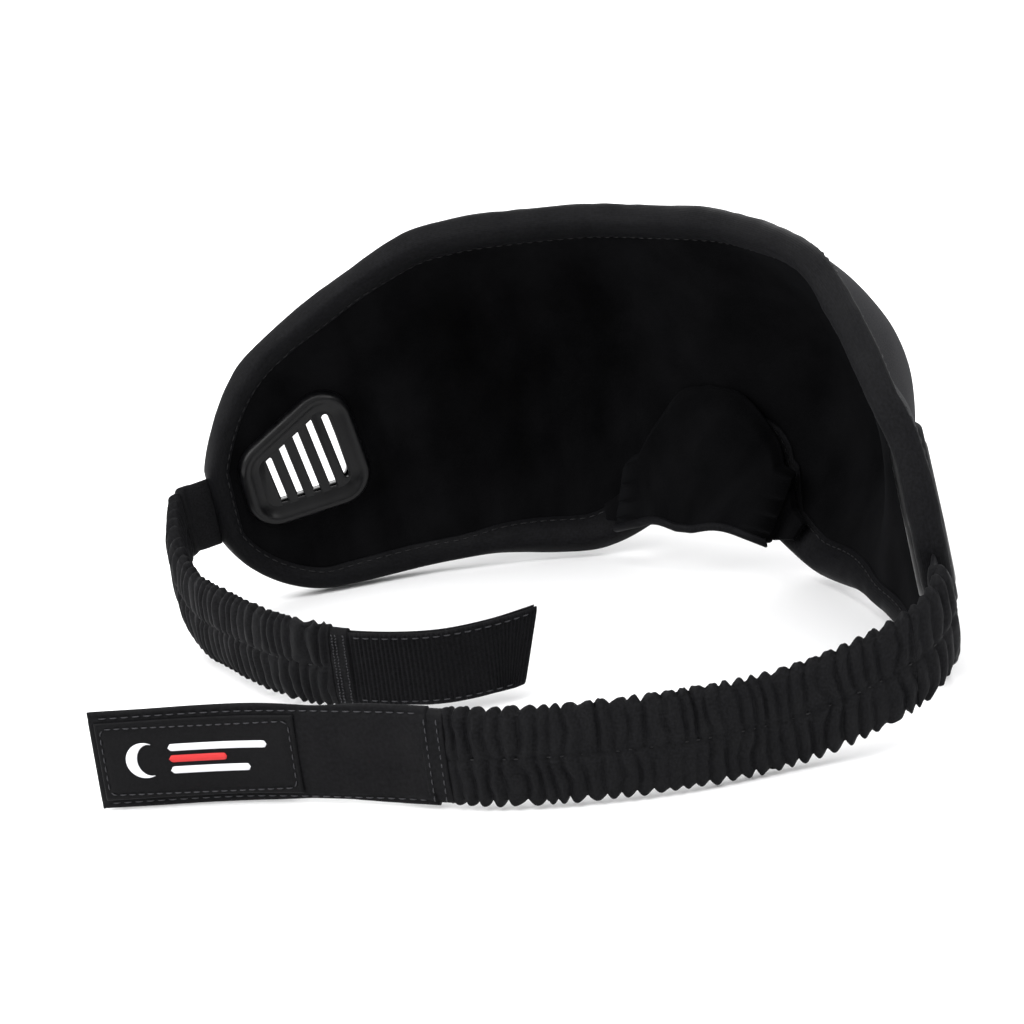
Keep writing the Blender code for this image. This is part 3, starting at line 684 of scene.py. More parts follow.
def velvet():
    """Short black pile, darkest of all, with faint brushed patches."""
    n = Nodes("velvet_look", (0.004, 0.004, 0.005), 0.95)
    brushed = n.grain(0.09, 3.0, (1.0, 0.6))
    n.ramp(brushed, shades((0.0012, 0.0012, 0.0014), (0.0034, 0.0034, 0.0038)), "Base Color")
    n.bump(n.grain(3.2, 2.0), 0.35, 0.12)
    n.bump(brushed, 0.2, 0.6)
    n.sheen(0.012, 0.5, (0.6, 0.62, 0.7))
    n.shader.inputs["Specular IOR Level"].default_value = 0.03
    return n.material


def cloth(name, colour, roughness, tones, matt, sheen, specular, tint=COOL):
    """Plain dark cloth. tones is (grain scale, detail, dark, light), matt is (grain scale, smoothest,
    roughest) and sheen is (weight, roughness)."""
    n = Nodes(name, colour, roughness)
    n.ramp(n.grain(*tones[:2]), shades(*tones[2:]), "Base Color")
    n.ramp(n.grain(matt[0], 2.0), [(0.3, matt[1]), (0.7, matt[2])], "Roughness")
    n.sheen(*sheen, tint)
    n.shader.inputs["Specular IOR Level"].default_value = specular
    return n


def trim_cloth():
    """Smooth stretch binding with a fine rib along it."""
    n = cloth("trim_look", (0.011, 0.011, 0.014), 0.62,
              (1.4, 3.0, (0.0014, 0.0014, 0.0017), (0.0052, 0.0052, 0.0062)), (0.12, 0.55, 0.72),
              (0.01, 0.4), 0.07)
    n.bump(n.ribs(0.5, False), 0.3, 0.08)
    n.bump(n.grain(1.1, 2.0), 0.2, 0.1)
    return n.material


def vent_plastic(name, gloss):
    """Moulded black plastic, from satin to glossy, with faint flow marks and fine scuffs."""
    n = Nodes(name, (0.006, 0.006, 0.008), gloss)
    flow = n.grain(0.25, 4.0, (1.0, 0.35))
    n.ramp(flow, [(0.3, (0.0012, 0.0012, 0.0015)), (0.7, (0.003, 0.003, 0.0036))], "Base Color")
    n.ramp(flow, [(0.25, gloss * 0.8), (0.75, gloss * 1.35)], "Roughness")
    n.bump(n.grain(0.9, 3.0), 0.06, 0.05)
    n.shader.inputs["Specular IOR Level"].default_value = 0.2
    n.shader.inputs["Coat Weight"].default_value = 0.06
    n.shader.inputs["Coat Roughness"].default_value = 0.12
    return n.material


def sleeve_cloth():
    """Plain woven cloth of the gathered sleeve."""
    n = cloth("sleeve_look", (0.012, 0.012, 0.014), 0.66,
              (1.8, 2.0, (0.0018, 0.0018, 0.0021), (0.0062, 0.0062, 0.0072)), (0.2, 0.58, 0.76),
              (0.014, 0.38), 0.08, (0.68, 0.7, 0.76))
    n.bump(n.mix("MULTIPLY", n.ribs(0.36, True), n.ribs(0.36, False)), 0.35, 0.07)
    n.bump(n.grain(0.8, 3.0), 0.25, 0.12)
    return n.material


def smooth_cloth():
    """Close smooth cloth of the right tab."""
    n = cloth("tab_look", (0.01, 0.01, 0.012), 0.6,
              (1.2, 3.0, (0.0014, 0.0014, 0.0017), (0.0046, 0.0046, 0.0054)), (0.15, 0.52, 0.7),
              (0.01, 0.4), 0.08)
    n.bump(n.ribs(0.3, True, math.radians(35)), 0.25, 0.06)
    n.bump(n.grain(0.35, 3.0), 0.3, 0.25)
    return n.material


def tape_cloth(name, pile):
    """Fastening tape: ribbed weave, or with pile a dense field of loops or hooks."""
    n = cloth(name, (0.009, 0.009, 0.011), 0.72,
              (1.6, 2.0, (0.0012, 0.0012, 0.0015), (0.0052, 0.0052, 0.0062)), (0.2, 0.64, 0.8),
              (0.012, 0.4), 0.08)
    if pile:
        n.bump(n.cells(1.5), 0.8, 0.35)
    else:
        n.bump(n.mix("MULTIPLY", n.ribs(0.8, True), n.ribs(0.45, False)), 0.5, 0.1)
    return n.material


def patch_cloth():
    """Close woven satin of the patch and the label."""
    n = cloth("patch_look", (0.007, 0.007, 0.009), 0.5,
              (1.5, 2.0, (0.001, 0.001, 0.0013), (0.0028, 0.0028, 0.0034)), (0.2, 0.44, 0.6),
              (0.008, 0.4), 0.09)
    n.bump(n.ribs(0.28, True, math.radians(62)), 0.4, 0.05)
    return n.material


def thread(name, dark, light):
    """Twisted sewing or embroidery thread, its colour painted darker in the grooves of the twist as painted
    shade.
    """
    n = Nodes(name, light, 0.5)
    # Painted shade: the colour follows the same twist ribs as the bump below, darker in the grooves.
    n.ramp(n.ribs(0.3, True, math.radians(40)), [(0.2, dark), (0.8, light)], "Base Color")
    n.ramp(n.grain(0.9, 2.0), [(0.3, 0.42), (0.7, 0.6)], "Roughness")
    n.bump(n.ribs(0.3, True, math.radians(40)), 0.5, 0.06)
    n.shader.inputs["Specular IOR Level"].default_value = 0.3
    return n.material


def foam_look():
    n = Nodes("foam_look", (0.04, 0.04, 0.045), 0.9)
    # Painted shade: the colour follows the same cells as the bump, darker in the pits of the foam.
    n.ramp(n.cells(2.2), [(0.1, (0.02, 0.02, 0.023)), (0.6, (0.06, 0.06, 0.066))], "Base Color")
    n.bump(n.cells(2.2), 0.6, 0.2)
    return n.material


def floor_look():
    n = Nodes("floor_look", (0.9, 0.9, 0.905), 0.7)
    n.ramp(n.grain(0.4, 3.0), [(0.3, (0.895, 0.895, 0.9)), (0.7, (0.905, 0.905, 0.91))], "Base Color")
    n.shader.inputs["Specular IOR Level"].default_value = 0.2
    return n.material


LOOKS = {
    "shell": shell_knit(),
    "velvet": velvet(),
    "trim": trim_cloth(),
    "gloss": vent_plastic("vent_gloss_look", 0.2),
    "satin": vent_plastic("vent_satin_look", 0.34),
    "sleeve": sleeve_cloth(),
    "tab": smooth_cloth(),
    "tape": tape_cloth("ribbed_tape_look", False),
    "pile": tape_cloth("pile_tape_look", True),
    "patch": patch_cloth(),
    "foam": foam_look(),
    "black_thread": thread("black_thread_look", (0.0015, 0.0015, 0.0018), (0.008, 0.008, 0.0095)),
    "grey_thread": thread("grey_thread_look", (0.008, 0.008, 0.0095), (0.042, 0.042, 0.048)),
    "white_thread": thread("white_thread_look", (0.55, 0.56, 0.6), (0.86, 0.86, 0.88)),
    "red_thread": thread("red_thread_look", (0.35, 0.01, 0.012), (0.66, 0.03, 0.03)),
}


# ---------------------------------------------------------------- face layers and binding


def soft_waves(s, h, seed):
    """Slight unevenness of the laminated cloth: broad waves, and puckers beside the binding."""
    low, top = edges(s)
    reach = PATTERN_HALF - TIP_CUT
    near = np.minimum(np.minimum(h - low, top - h), (reach - np.abs(s)) * 1.2 + 1.0)
    run = s + 0.35 * h
    pucker = noise2(run, h * 0.25, 4.6, seed) * np.exp(-np.maximum(near - 4.0, 0.0) / 5.0) * 0.28
    broad = noise2(s, h, 24.0, seed + 1) * 0.3 + noise2(s, h, 9.0, seed + 2) * 0.1
    calm = smooth(np.hypot(np.abs(s) - VENT_AT[0], h - VENT_AT[1]), 18.0, 26.0)
    return (pucker + broad) * calm


def face_sheet(name, layer, look, seed, unevenness=1.0):
    """One layer of the face as a closed sheet, with both vent holes cut through."""
    half = PATTERN_HALF - TIP_CUT - EDGE_INSET
    wide = np.linspace(0, 1, 120)
    places = half * (0.55 * wide + 0.45 * np.sin(wide * math.pi / 2))
    s = np.concatenate((-places[:0:-1], places))[None, :]
    low, top = edges(s, EDGE_INSET)
    share = np.linspace(0, 1, 72)[:, None]
    share = 0.75 * share + 0.25 * (0.5 - 0.5 * np.cos(share * math.pi))
    h = low + (top - low) * share
    s = np.broadcast_to(s, h.shape)
    offset, thickness = layer
    waves = soft_waves(s, h, seed) * unevenness
    outer = on_face(s, h, offset + waves)
    inner = on_face(s, h, offset + waves - thickness)
    ring = np.concatenate((outer, inner[::-1]))
    uv = np.stack((s, h), -1)
    uv = np.concatenate((uv, uv[::-1], uv[:1]))
    sheet = skin(name, ring, uv, look, wrap_rows=True)
    close_tips(sheet)
    holes = [prism("hole", rounded(-HOLE_INSET), side, -9.0, 9.0, look) for side in (1, -1)]
    return carve(sheet, holes)


def close_tips(piece):
    """Fills the open ends of a wrapped sheet."""
    builder = bmesh.new()
    builder.from_mesh(piece.data)
    rim = [edge for edge in builder.edges if edge.is_boundary]
    bmesh.ops.holes_fill(builder, edges=rim, sides=0)
    bmesh.ops.recalc_face_normals(builder, faces=builder.faces)
    builder.to_mesh(piece.data)
    builder.free()


def face_layers():
    shell = face_sheet("outer_fabric", OUTER_FABRIC, LOOKS["shell"], 11)
    foam = face_sheet("foam_sheet", FOAM, LOOKS["foam"], 11)
    lining = face_sheet("velvet_sheet", LINING, LOOKS["velvet"], 21, unevenness=0.8)
    keep(shell, "mask_body", "shell_knit", "outer_shell")
    keep(foam, "mask_body", "foam", "foam_core")
    keep(lining, "mask_body", "velvet_lining", "inner_lining")


BINDING_SECTION = ((3.6, 2.25), (3.55, 2.75), (3.2, 3.05), (2.7, 3.0), (2.3, 3.1), (1.7, 3.42), (0.9, 3.3),
                   (0.25, 2.7), (-0.05, 1.6), (-0.15, 0.2), (-0.1, -1.3), (0.2, -2.6), (0.9, -3.35),
                   (2.0, -3.72), (3.2, -3.75), (4.3, -3.45), (5.2, -3.0), (5.9, -2.6), (6.2, -2.3),
                   (6.0, -2.05), (3.5, -2.0), (1.4, -1.9), (1.0, 0.0), (1.4, 1.9), (2.6, 2.0), (3.3, 2.05))


def binding_reach(place):
    """How deep the inner lip of the binding reaches: less beside the vents."""
    return 1.0 - 0.14 * smooth(np.abs(place[:, 0]), 92.0, 108.0)


def binding_surface(place, inward, marks, depth, lift):
    scale = np.where(lift < -1.0, binding_reach(place), 1.0)
    spot = place + inward * (depth * scale)[:, None]
    wander = noise(marks, 3.3, 31) * 0.16 + noise(marks, 11.0, 32) * 0.16
    roll = np.clip(1.0 - abs(depth - 1.8) / 4.0, 0.0, 1.0)
    return on_face(spot[:, 0], spot[:, 1], lift + np.sign(lift) * wander * roll)


def smooth_section(section, passes=2):
    """Rounds a closed section by cutting its corners."""
    pts = np.array(section, float)
    for _ in range(passes):
        after = np.roll(pts, -1, axis=0)
        pts = np.stack((pts * 0.75 + after * 0.25, pts * 0.25 + after * 0.75), 1).reshape(-1, 2)
    return pts


def binding():
    """The stretch band folded over the edge: a soft roll, wider inside than outside, and its stitches."""
    place, inward, marks = outline(1.1)
    section = smooth_section(BINDING_SECTION, 1)
    rings = np.stack([binding_surface(place, inward, marks, depth, lift) for depth, lift in section], 1)
    around = run_along(section)
    around = np.append(around, around[-1] + 0.5)
    along = np.append(marks, marks[-1] + 1.1)
    uv = uv_grid(along, around)
    band = skin("rolled_binding", rings, uv, LOOKS["trim"], wrap_rows=True, wrap_cols=True)
    keep(band, "mask_body", "edge_trim", "edge_binding")
    pitch = 2.6
    for name, depth, lift in (("binding_stitches_front", 2.95, 3.12),
                              ("binding_stitches_back", 5.1, -3.15)):
        path = binding_surface(place, inward, marks, depth, lift)
        above = binding_surface(place, inward, marks, depth, lift * 1.5)
        row = stitches(name, path, unit(above - path), LOOKS["black_thread"], pitch, pitch * 0.68, 0.16,
                       0.05, closed=True)
        keep(row, "mask_body", "edge_trim")


# ---------------------------------------------------------------- vents


def ring_piece(name, side, profile, look):
    """A ring that follows the vent outline, with a section of (grow, w) places."""
    section = smooth_section(profile, 1)
    rings = []
    for grow, w in section:
        ring = rounded(grow)
        rings.append(on_vent(side, ring[:, 0], ring[:, 1], w))
    rings = np.stack(rings, 1)
    run = run_along(rounded(0.0))
    uv = uv_grid(np.append(run, run[-1] + 6.0), np.arange(len(section) + 1) * 0.4)
    return skin(name, rings, uv, look, wrap_rows=True, wrap_cols=True)


def chord(u, v, way, ring):
    """How far a line from (u, v) runs each way before it meets the outline."""
    start, across = np.array((u, v)), np.array((-way[1], way[0]))
    rel = ring - start
    sides = rel @ across
    along = rel @ np.array(way)
    found = []
    for k in range(len(ring)):
        m = (k + 1) % len(ring)
        if sides[k] * sides[m] < 0:
            t = sides[k] / (sides[k] - sides[m])
            found.append(along[k] + (along[m] - along[k]) * t)
    return min(found), max(found)


def slat_line(i, rise):
    """Middle (u, v) of slat or slot line i steps from the vent's middle, and its direction."""
    way = (math.sin(SLAT_TILT), math.cos(SLAT_TILT))
    return (i * SLAT_PITCH, SLOT_DROP - i * SLAT_PITCH * STEP_DOWN + rise), way


def slats(side, word):
    """The five rounded bars across the front of a vent."""
    bars = []
    inner = rounded(BAR_LIMIT)
    turn = np.linspace(0, TURN, 14, endpoint=False)
    for i in range(BAR_COUNT):
        (u, v), way = slat_line(i + BAR_FIRST, BAR_RISE)
        low, high = chord(u, v, way, inner)
        reach = np.linspace(low - 0.5, high + 0.5, 12)[:, None]
        across = np.sign(np.cos(turn)) * np.abs(np.cos(turn)) ** 0.7 * BAR_HALF
        w = BAR_MIDDLE + np.sin(turn) * BAR_DEPTH
        pu = u + way[0] * reach + way[1] * across
        pv = v + way[1] * reach - way[0] * across
        uv = np.stack(np.broadcast_arrays(reach, np.arange(15)[None, :] * 0.3), -1)
        bars.append(skin("bar", on_vent(side, pu, pv, w), uv, LOOKS["gloss"], wrap_cols=True, caps=True))
    return keep(joined(f"{word}_vent_slats", bars), "mask_body", "vent_plastic")


def capsule(u, v, way, half, radius):
    """Outline of a slot with round ends."""
    turn = np.linspace(0, math.pi, 7)
    across = np.concatenate((radius * np.cos(turn), radius * np.cos(turn + math.pi)))
    along = np.concatenate((half - radius + radius * np.sin(turn),
                            radius - half + radius * np.sin(turn + math.pi)))
    return np.stack((u + way[0] * along + way[1] * across, v + way[1] * along - way[0] * across), -1)


BEZEL = ((-2.2, 2.0), (-2.3, 2.9), (-2.9, 3.7), (-3.8, 4.0), (-4.7, 3.7), (-5.4, 2.9), (-5.7, 1.3),
         (-5.75, -0.4), (-4.6, -0.5), (-3.4, 0.4), (-2.5, 1.2))
WELT = ((1.9, 1.9), (1.5, 2.7), (0.7, 3.4), (-0.1, 3.6), (-0.8, 3.3), (-1.2, 2.7), (-1.6, 2.45),
        (-2.1, 2.5), (-2.3, 2.1), (-1.4, 1.8), (-0.2, 1.75), (1.0, 1.75))
REAR_RING = ((-0.2, -1.95), (-0.35, -3.2), (-0.9, -4.25), (-1.8, -4.75), (-2.8, -4.6), (-3.6, -4.05),
             (-4.9, -3.55), (-6.2, -3.25), (-6.4, -2.9), (-5.0, -2.6), (-2.4, -2.3), (-1.0, -2.0))


def vent(side, word):
    """Front: welt, stitches, bezel and slats. Rear: raised ring, bevel and slotted plate."""
    def add_ring(name, profile, look, slot, node):
        keep(ring_piece(f"{word}_{name}", side, profile, LOOKS[look]), "mask_body", slot, f"{word}_{node}")

    add_ring("welt_roll", WELT, "trim", "edge_trim", "vent_welt")
    add_ring("bezel_frame", BEZEL, "gloss", "vent_plastic", "vent_bezel")
    slats(side, word)
    grow, height = STITCH_GROOVE
    groove = rounded(grow, 16)
    path = on_vent(side, groove[:, 0], groove[:, 1], height)
    row = stitches(f"{word}_vent_stitches", path, np.broadcast_to(VENT_FRAMES[side][2], path.shape),
                   LOOKS["black_thread"], 2.3, 1.5, 0.17, 0.06, closed=True)
    keep(row, "mask_body", "edge_trim")
    add_ring("rear_ring", REAR_RING, "satin", "vent_plastic", "vent_ring")
    grow, low, high = REAR_PLATE
    plate = prism(f"{word}_rear_plate", rounded(grow), side, low, high, LOOKS["satin"])
    cutters = []
    for i, half in enumerate(SLOT_HALVES):
        (u, v), way = slat_line(i - (len(SLOT_HALVES) - 1) / 2, 0.0)
        slot = capsule(u, v, way, half, SLOT_RADIUS)
        cutters.append(prism("slot", slot, side, *SLOT_CUT, LOOKS["satin"]))
    carve(plate, cutters, bevel=PLATE_BEVEL)
    keep(plate, "mask_body", "vent_plastic")


# ---------------------------------------------------------------- straps


def lanes(count):
    """Places from -1 to 1 across a band, closer together at its edges."""
    even = np.linspace(-1, 1, count)
    return 0.55 * even + 0.45 * np.sin(even * math.pi / 2)


def band_skin(name, strap, stations, count, height, thick, look, relief=None, offset=0.0, square=4.0,
              draw=None):
    """A flat band along a strap. height, thick and offset may change along it; relief(a, z, lane,
    side) stands the cloth out, with side 1 on the outer face and -1 on the inner; draw(a, z) moves
    it along the strap."""
    lane = lanes(count)
    a = np.asarray(stations, float)[:, None]
    height, thick, offset = [np.broadcast_to(np.asarray(v, float), (len(stations),))[:, None]
                             for v in (height, thick, offset)]
    swell = np.sqrt(np.clip(1.0 - np.abs(lane) ** square, 0.0, 1.0))
    faces = []
    for side, order in ((1, slice(None)), (-1, slice(-2, 0, -1))):
        z = lane[order] * height / 2
        out = swell[order] * thick / 2
        if relief:
            z_shift, stand = relief(np.broadcast_to(a, z.shape), z, lane[order], side)
            z = z + z_shift
            out = out + stand
        faces.append((np.broadcast_to(z, (len(stations), z.shape[1])), side * out + offset))
    z = np.concatenate([f[0] for f in faces], 1)
    out = np.concatenate([np.broadcast_to(f[1], f[0].shape) for f in faces], 1)
    along = draw(a, z) if draw else np.broadcast_to(a, z.shape)
    points = strap.place(along, z, out)
    tall = height.mean()
    around = np.concatenate((lane * tall / 2, tall - lane[1:-1] * tall / 2))
    around = np.append(around, around[-1] + 0.3)
    uv = uv_grid(np.asarray(stations, float), around)
    return skin(name, points, uv, look, wrap_cols=True, caps=True)


def gathers(seed, end):
    """Relief of gathered cloth on two channels that share one stitch line. The folds lean, merge
    and differ in size, and stand out as small frills along both edges; both ends are flat."""

    def relief(a, z, lane, side):
        upper = z > 0
        slip = np.where(upper, noise(a, 7.5, seed), noise(a, 7.5, seed + 1))
        lean = noise2(a, z, 6.0, seed + 2 + side) * 1.9 + noise2(a, z, 2.7, seed + 5) * 0.7
        phase = TURN * a / GATHER_PITCH + 2.2 * slip + lean
        fold = np.abs(np.cos(phase / 2)) ** 0.8
        size = 1.0 + 0.5 * np.where(upper, noise(a, 3.9, seed + 7), noise(a, 3.9, seed + 8))
        lobe = np.sqrt(np.clip(1.0 - ((np.abs(lane) - 0.5) / 0.5) ** 2, 0.0, 1.0))
        frill = smooth(np.abs(lane), 0.84, 1.0)
        stand = (fold - 0.55) * 1.1 * size * (0.45 + 0.55 * lobe) * (1.0 - 0.35 * frill)
        stand = stand - 0.5 * np.exp(-(z / 0.8) ** 2)
        flutter = np.sin(phase) * 0.55 * frill * side
        tuck = np.sign(z) * (fold - 0.75) * 1.5 * size * frill
        calm = smooth(a, 0.5, 7.0) * (1.0 - smooth(a, end - 2.5, end + 0.5))
        return tuck * calm, (stand + flutter) * calm

    return relief


def sleeve(side, word, strap):
    """The gathered sleeve, in two pieces that meet in a valley between two gathers."""
    end = SLEEVE_ENDS[side]
    step = 0.3
    stations = np.arange(-4.6, end + step / 2, step)
    height = ROOT_HEIGHT + (SLEEVE_HEIGHTS[side] - ROOT_HEIGHT) * smooth(stations, 0.0, 10.0)
    thick = 2.0 + 2.4 * smooth(stations, -3.0, 9.0) * (1.0 - 0.3 * smooth(stations, end - 4.0, end))
    relief = gathers(40 + 20 * side, end)
    split = int(np.argmin(np.abs(stations - ROOT_SPLIT)))
    root_piece, run_piece = [
        band_skin(f"{word}_sleeve_{label}", strap, stations[rows], 46, height[rows], thick[rows],
                  LOOKS["sleeve"], relief, square=3.0)
        for label, rows in (("root", slice(0, split + 1)), ("run", slice(split, None)))]
    for face_side, label in ((1, "outer"), (-1, "inner")):
        a = np.arange(8.0, end - 2.0, 0.5)
        path = strap.place(a, np.zeros_like(a), face_side * 1.55)
        normal = strap.frame(a)[2] * face_side
        row = stitches(f"{word}_channel_stitches_{label}", path, normal, LOOKS["black_thread"], 2.4, 1.6,
                       0.17)
        blend_end(row, side, strap)
        keep(row, None, "ruched_sleeve")
    keep(root_piece, None, "ruched_sleeve", f"{word}_sleeve", f"{word}_anchor_tab")
    keep(run_piece, None, "ruched_sleeve", f"{word}_sleeve")
    start, stop = (to_world(strap.at(a)) for a in ROOT_BEND)
    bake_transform(root_piece)
    blend_end(run_piece, side, strap)


def blend_end(piece, side, strap):
    """Bakes a piece's transform into its mesh; the two ends of the sleeve's last run are worked out but not
    used.
    """
    end = SLEEVE_ENDS[side]
    to_world(strap.at(end - STRETCH_RUN))
    to_world(strap.at(end))
    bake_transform(piece)


def tab_lines(strap, a, z, out, side=1):
    """Points and outward normals of a line on a tab face."""
    a, z = np.broadcast_arrays(np.asarray(a, float), np.asarray(z, float))
    return strap.place(a, z, np.full(a.shape, side * out)), strap.frame(a)[2] * side


def sew(name, strap, a, z, out, pitch, body, slot, side=1, closed=False):
    path, normal = tab_lines(strap, a, z, out, side)
    row = stitches(name, path, normal, LOOKS["grey_thread"], pitch, pitch * 0.66, 0.15, 0.04, closed)
    return keep(row, body, slot)


def elastic_core(side, word, strap):
    """The ribbed elastic that runs through the sleeve."""
    stations = np.arange(0.8, SLEEVE_ENDS[side] - JOIN_GAP, 1.0)

    def ribbed(a, z, lane, face_side):
        return 0.0, 0.12 * np.cos(z * TURN / 1.6)

    core = band_skin(f"{word}_elastic_core", strap, stations, 40, 16.0, 1.0, LOOKS["tape"], ribbed,
                     square=8.0)
    keep(core, None, "elastic", f"{word}_elastic")
    blend_end(core, side, strap)


def cut_slant(strap):
    """The far end of the left tape is cut at a slant, and its lower corner is drawn back."""
    def draw(a, z):
        return a - TAPE_SLANT * smooth(a, strap.length - 16.0, strap.length) * (0.5 - z / TAPE_HEIGHT)

    return draw


def left_end(strap):
    """Bar tack, ribbed tape and its smooth backing."""
    start = SLEEVE_ENDS[1] - 0.4

    def lumpy(a, z, lane, side):
        return 0.0, noise2(a, z, 2.2, 71 + side) * 0.22

    tack = band_skin("left_bar_tack", strap, np.arange(start, start + 5.6, 0.35), 36, 19.4, 3.3,
                     LOOKS["sleeve"], lumpy, square=3.0)
    keep(tack, "left_end", "webbing", "left_seam")
    for k, a in enumerate((start + 1.3, start + 2.3, start + 4.4)):
        z = np.linspace(-8.6, 8.6, 60)
        zigzag = a + 0.35 * (np.arange(60) % 2)
        for side, label in ((1, ""), (-1, "inside_")):
            sew(f"left_tack_stitches_{label}{k}", strap, zigzag, z, 1.68, 1.15, "left_end", "webbing", side)

    def ribs(a, z, lane, side):
        edge = 1.0 - smooth(np.abs(lane), 0.9, 0.98)
        wave = 0.16 * np.cos(a * TURN / 1.1) * edge * (side > 0)
        return noise(a, 5.0, 81) * 0.12, wave + noise2(a, z, 9.0, 82) * 0.08

    stations = np.arange(start + 4.2, strap.length - 0.4, 0.18)
    tape = band_skin("left_ribbed_tape", strap, stations, 30, TAPE_HEIGHT, 1.25, LOOKS["tape"], ribs, 0.5,
                     10.0, cut_slant(strap))
    keep(tape, "left_end", "fastening_tape", "left_loop_tape")
    backing = band_skin("left_smooth_backing", strap, np.arange(start + 4.2, strap.length, 0.8), 26,
                        TAPE_HEIGHT, 0.75, LOOKS["tab"], None, -0.72, 10.0, cut_slant(strap))
    keep(backing, "left_end", "tab_fabric", "left_tab_backing")
    a = np.arange(start + 7.0, strap.length - 1.4, 0.8)
    for label, z in (("top", 7.7), ("bottom", -7.7)):
        row = a[a < strap.length - (1.6 if z > 0 else 8.5)]
        sew(f"left_tape_stitches_{label}", strap, row, z, 1.2, 2.4, "left_end", "fastening_tape")


TAB_START = SLEEVE_ENDS[-1] + 2 * JOIN_GAP + SEAM_LENGTH
PATCH_SPAN = (47.6, 1.6)
HOOK_SPAN = (45.0, 3.0)
PATCH_HEIGHT = 18.4
TAB_HEIGHT = 23.0
TAPE_HEIGHT = 17.7
TAPE_SLANT = 6.0
EMBLEM_SIZE = 1.15


def rectangle_path(low, high, half, corner=1.6):
    """A closed stitch line (a, z) round a rectangle with small round corners."""
    turn = np.linspace(0, math.pi / 2, 6)
    out = []
    for a, z, first in ((high, half, 0), (low, half, 1), (low, -half, 2), (high, -half, 3)):
        angle = turn + first * math.pi / 2
        ca = a - corner * (1 if a == high else -1)
        cz = z - corner * (1 if z > 0 else -1)
        out.append(np.stack((ca + corner * np.cos(angle), cz + corner * np.sin(angle)), -1))
    return np.concatenate(out)


def right_end(strap):
    """Sewn mouth, topstitched smooth tab, stitched patch outside and hook tape inside."""
    end = strap.length

    def puffed(a, z, lane, side):
        groove = 0.28 * np.exp(-((np.abs(z) - 10.0) / 0.45) ** 2)
        soft = noise2(a, z, 7.0, 91) * 0.22 + noise2(a, z * 0.5, 2.8, 92) * 0.07
        ends = smooth(a, TAB_START + 1.0, TAB_START + 7.0) * (1.0 - smooth(a, end - 50.0, end - 44.0))
        return noise(a, 12.0, 93) * 0.15, (0.25 * ends * np.cos(lane * math.pi / 2) + soft * ends) - groove

    stations = np.append(np.arange(TAB_START - 0.6, end - 0.5, 0.5), (end - 0.3, end - 0.1, end))
    thick = 2.3 + 1.5 * (1.0 - smooth(stations, TAB_START, TAB_START + 9.0))
    nip = 1.0 - 0.05 * np.exp(-((stations - (end - 52.0)) / 9.0) ** 2)
    closing = np.sqrt(np.clip(1.0 - ((stations - end + 1.0) / 1.1).clip(0, 1) ** 2, 0.03, 1.0))
    tab = band_skin("right_tab_cloth", strap, stations, 44, TAB_HEIGHT * nip, thick * closing, LOOKS["tab"],
                    puffed, 0.0, 5.0)
    keep(tab, "right_end", "tab_fabric", "right_tab")

    def lumpy(a, z, lane, side):
        return 0.0, noise2(a, z, 3.0, 95 + side) * 0.2

    mouth_at = np.arange(TAB_START - 4.4, TAB_START + 1.2, 0.35)
    mouth = band_skin("right_sewn_mouth", strap, mouth_at, 36, 21.8, 4.3, LOOKS["tab"], lumpy, 0.0, 3.4)
    keep(mouth, "right_end", "webbing", "right_seam")
    z = np.linspace(-9.8, 9.8, 40)
    for k, a in enumerate((TAB_START - 3.2, TAB_START - 0.4)):
        for side, label in ((1, "outside"), (-1, "inside")):
            sew(f"right_mouth_stitches_{label}_{k}", strap, a, z, 2.15, 1.9, "right_end", "webbing", side)
    a = np.arange(TAB_START + 2.0, end - 1.4, 0.8)
    for label, z in (("top", 10.0), ("bottom", -10.0)):
        for side, face_word in ((1, "outside"), (-1, "inside")):
            sew(f"right_tab_stitches_{label}_{face_word}", strap, a, z, 1.0, 2.5, "right_end", "tab_fabric",
                side)

    low, high = end - PATCH_SPAN[0], end - PATCH_SPAN[1]

    def woven(a, z, lane, side):
        inside = np.minimum(np.minimum(a - low, high - a), 9.0 - np.abs(z))
        groove = 0.16 * np.exp(-((inside - 1.3) / 0.3) ** 2)
        return 0.0, 0.14 * smooth(inside, 1.4, 3.4) - groove

    at = np.concatenate(((low, low + 0.12), np.arange(low + 0.4, high - 0.3, 0.4), (high - 0.12, high)))
    rim = np.clip(np.minimum(at - low, high - at) / 0.4, 0.0, 1.0) ** 0.5
    patch = band_skin("right_woven_patch", strap, at, 48, PATCH_HEIGHT, 0.15 + 0.95 * rim, LOOKS["patch"],
                      woven, 1.3, 14.0)
    keep(patch, "right_end", "patch", "right_patch")
    path = rectangle_path(low + 1.3, high - 1.3, 7.8)
    sew("right_patch_stitches", strap, path[:, 0], path[:, 1], 1.86, 2.1, "right_end", "patch", closed=True)
    emblem("right_emblem", lambda a, z, lift: strap.place(a, z, 1.98 + lift), (low + high) / 2, EMBLEM_SIZE,
           "right_end")

    def hooks(a, z, lane, side):
        field = (side < 0) * smooth(np.abs(lane), 0.93, 0.86)
        return 0.0, 0.12 * np.cos(a * TURN / 1.2) * np.cos(z * TURN / 1.2) * field

    low, high = end - HOOK_SPAN[0], end - HOOK_SPAN[1]
    hook = band_skin("right_hook_field", strap, np.arange(low, high, 0.3), 56, PATCH_HEIGHT, 1.25,
                     LOOKS["pile"], hooks, -1.85, 12.0)
    keep(hook, "right_end", "fastening_tape", "right_hook_tape")
    path = rectangle_path(low + 1.1, high - 1.1, 8.1)
    sew("right_hook_stitches", strap, path[:, 0], path[:, 1], 2.46, 2.2, "right_end", "fastening_tape",
        side=-1, closed=True)


# ---------------------------------------------------------------- emblem and label


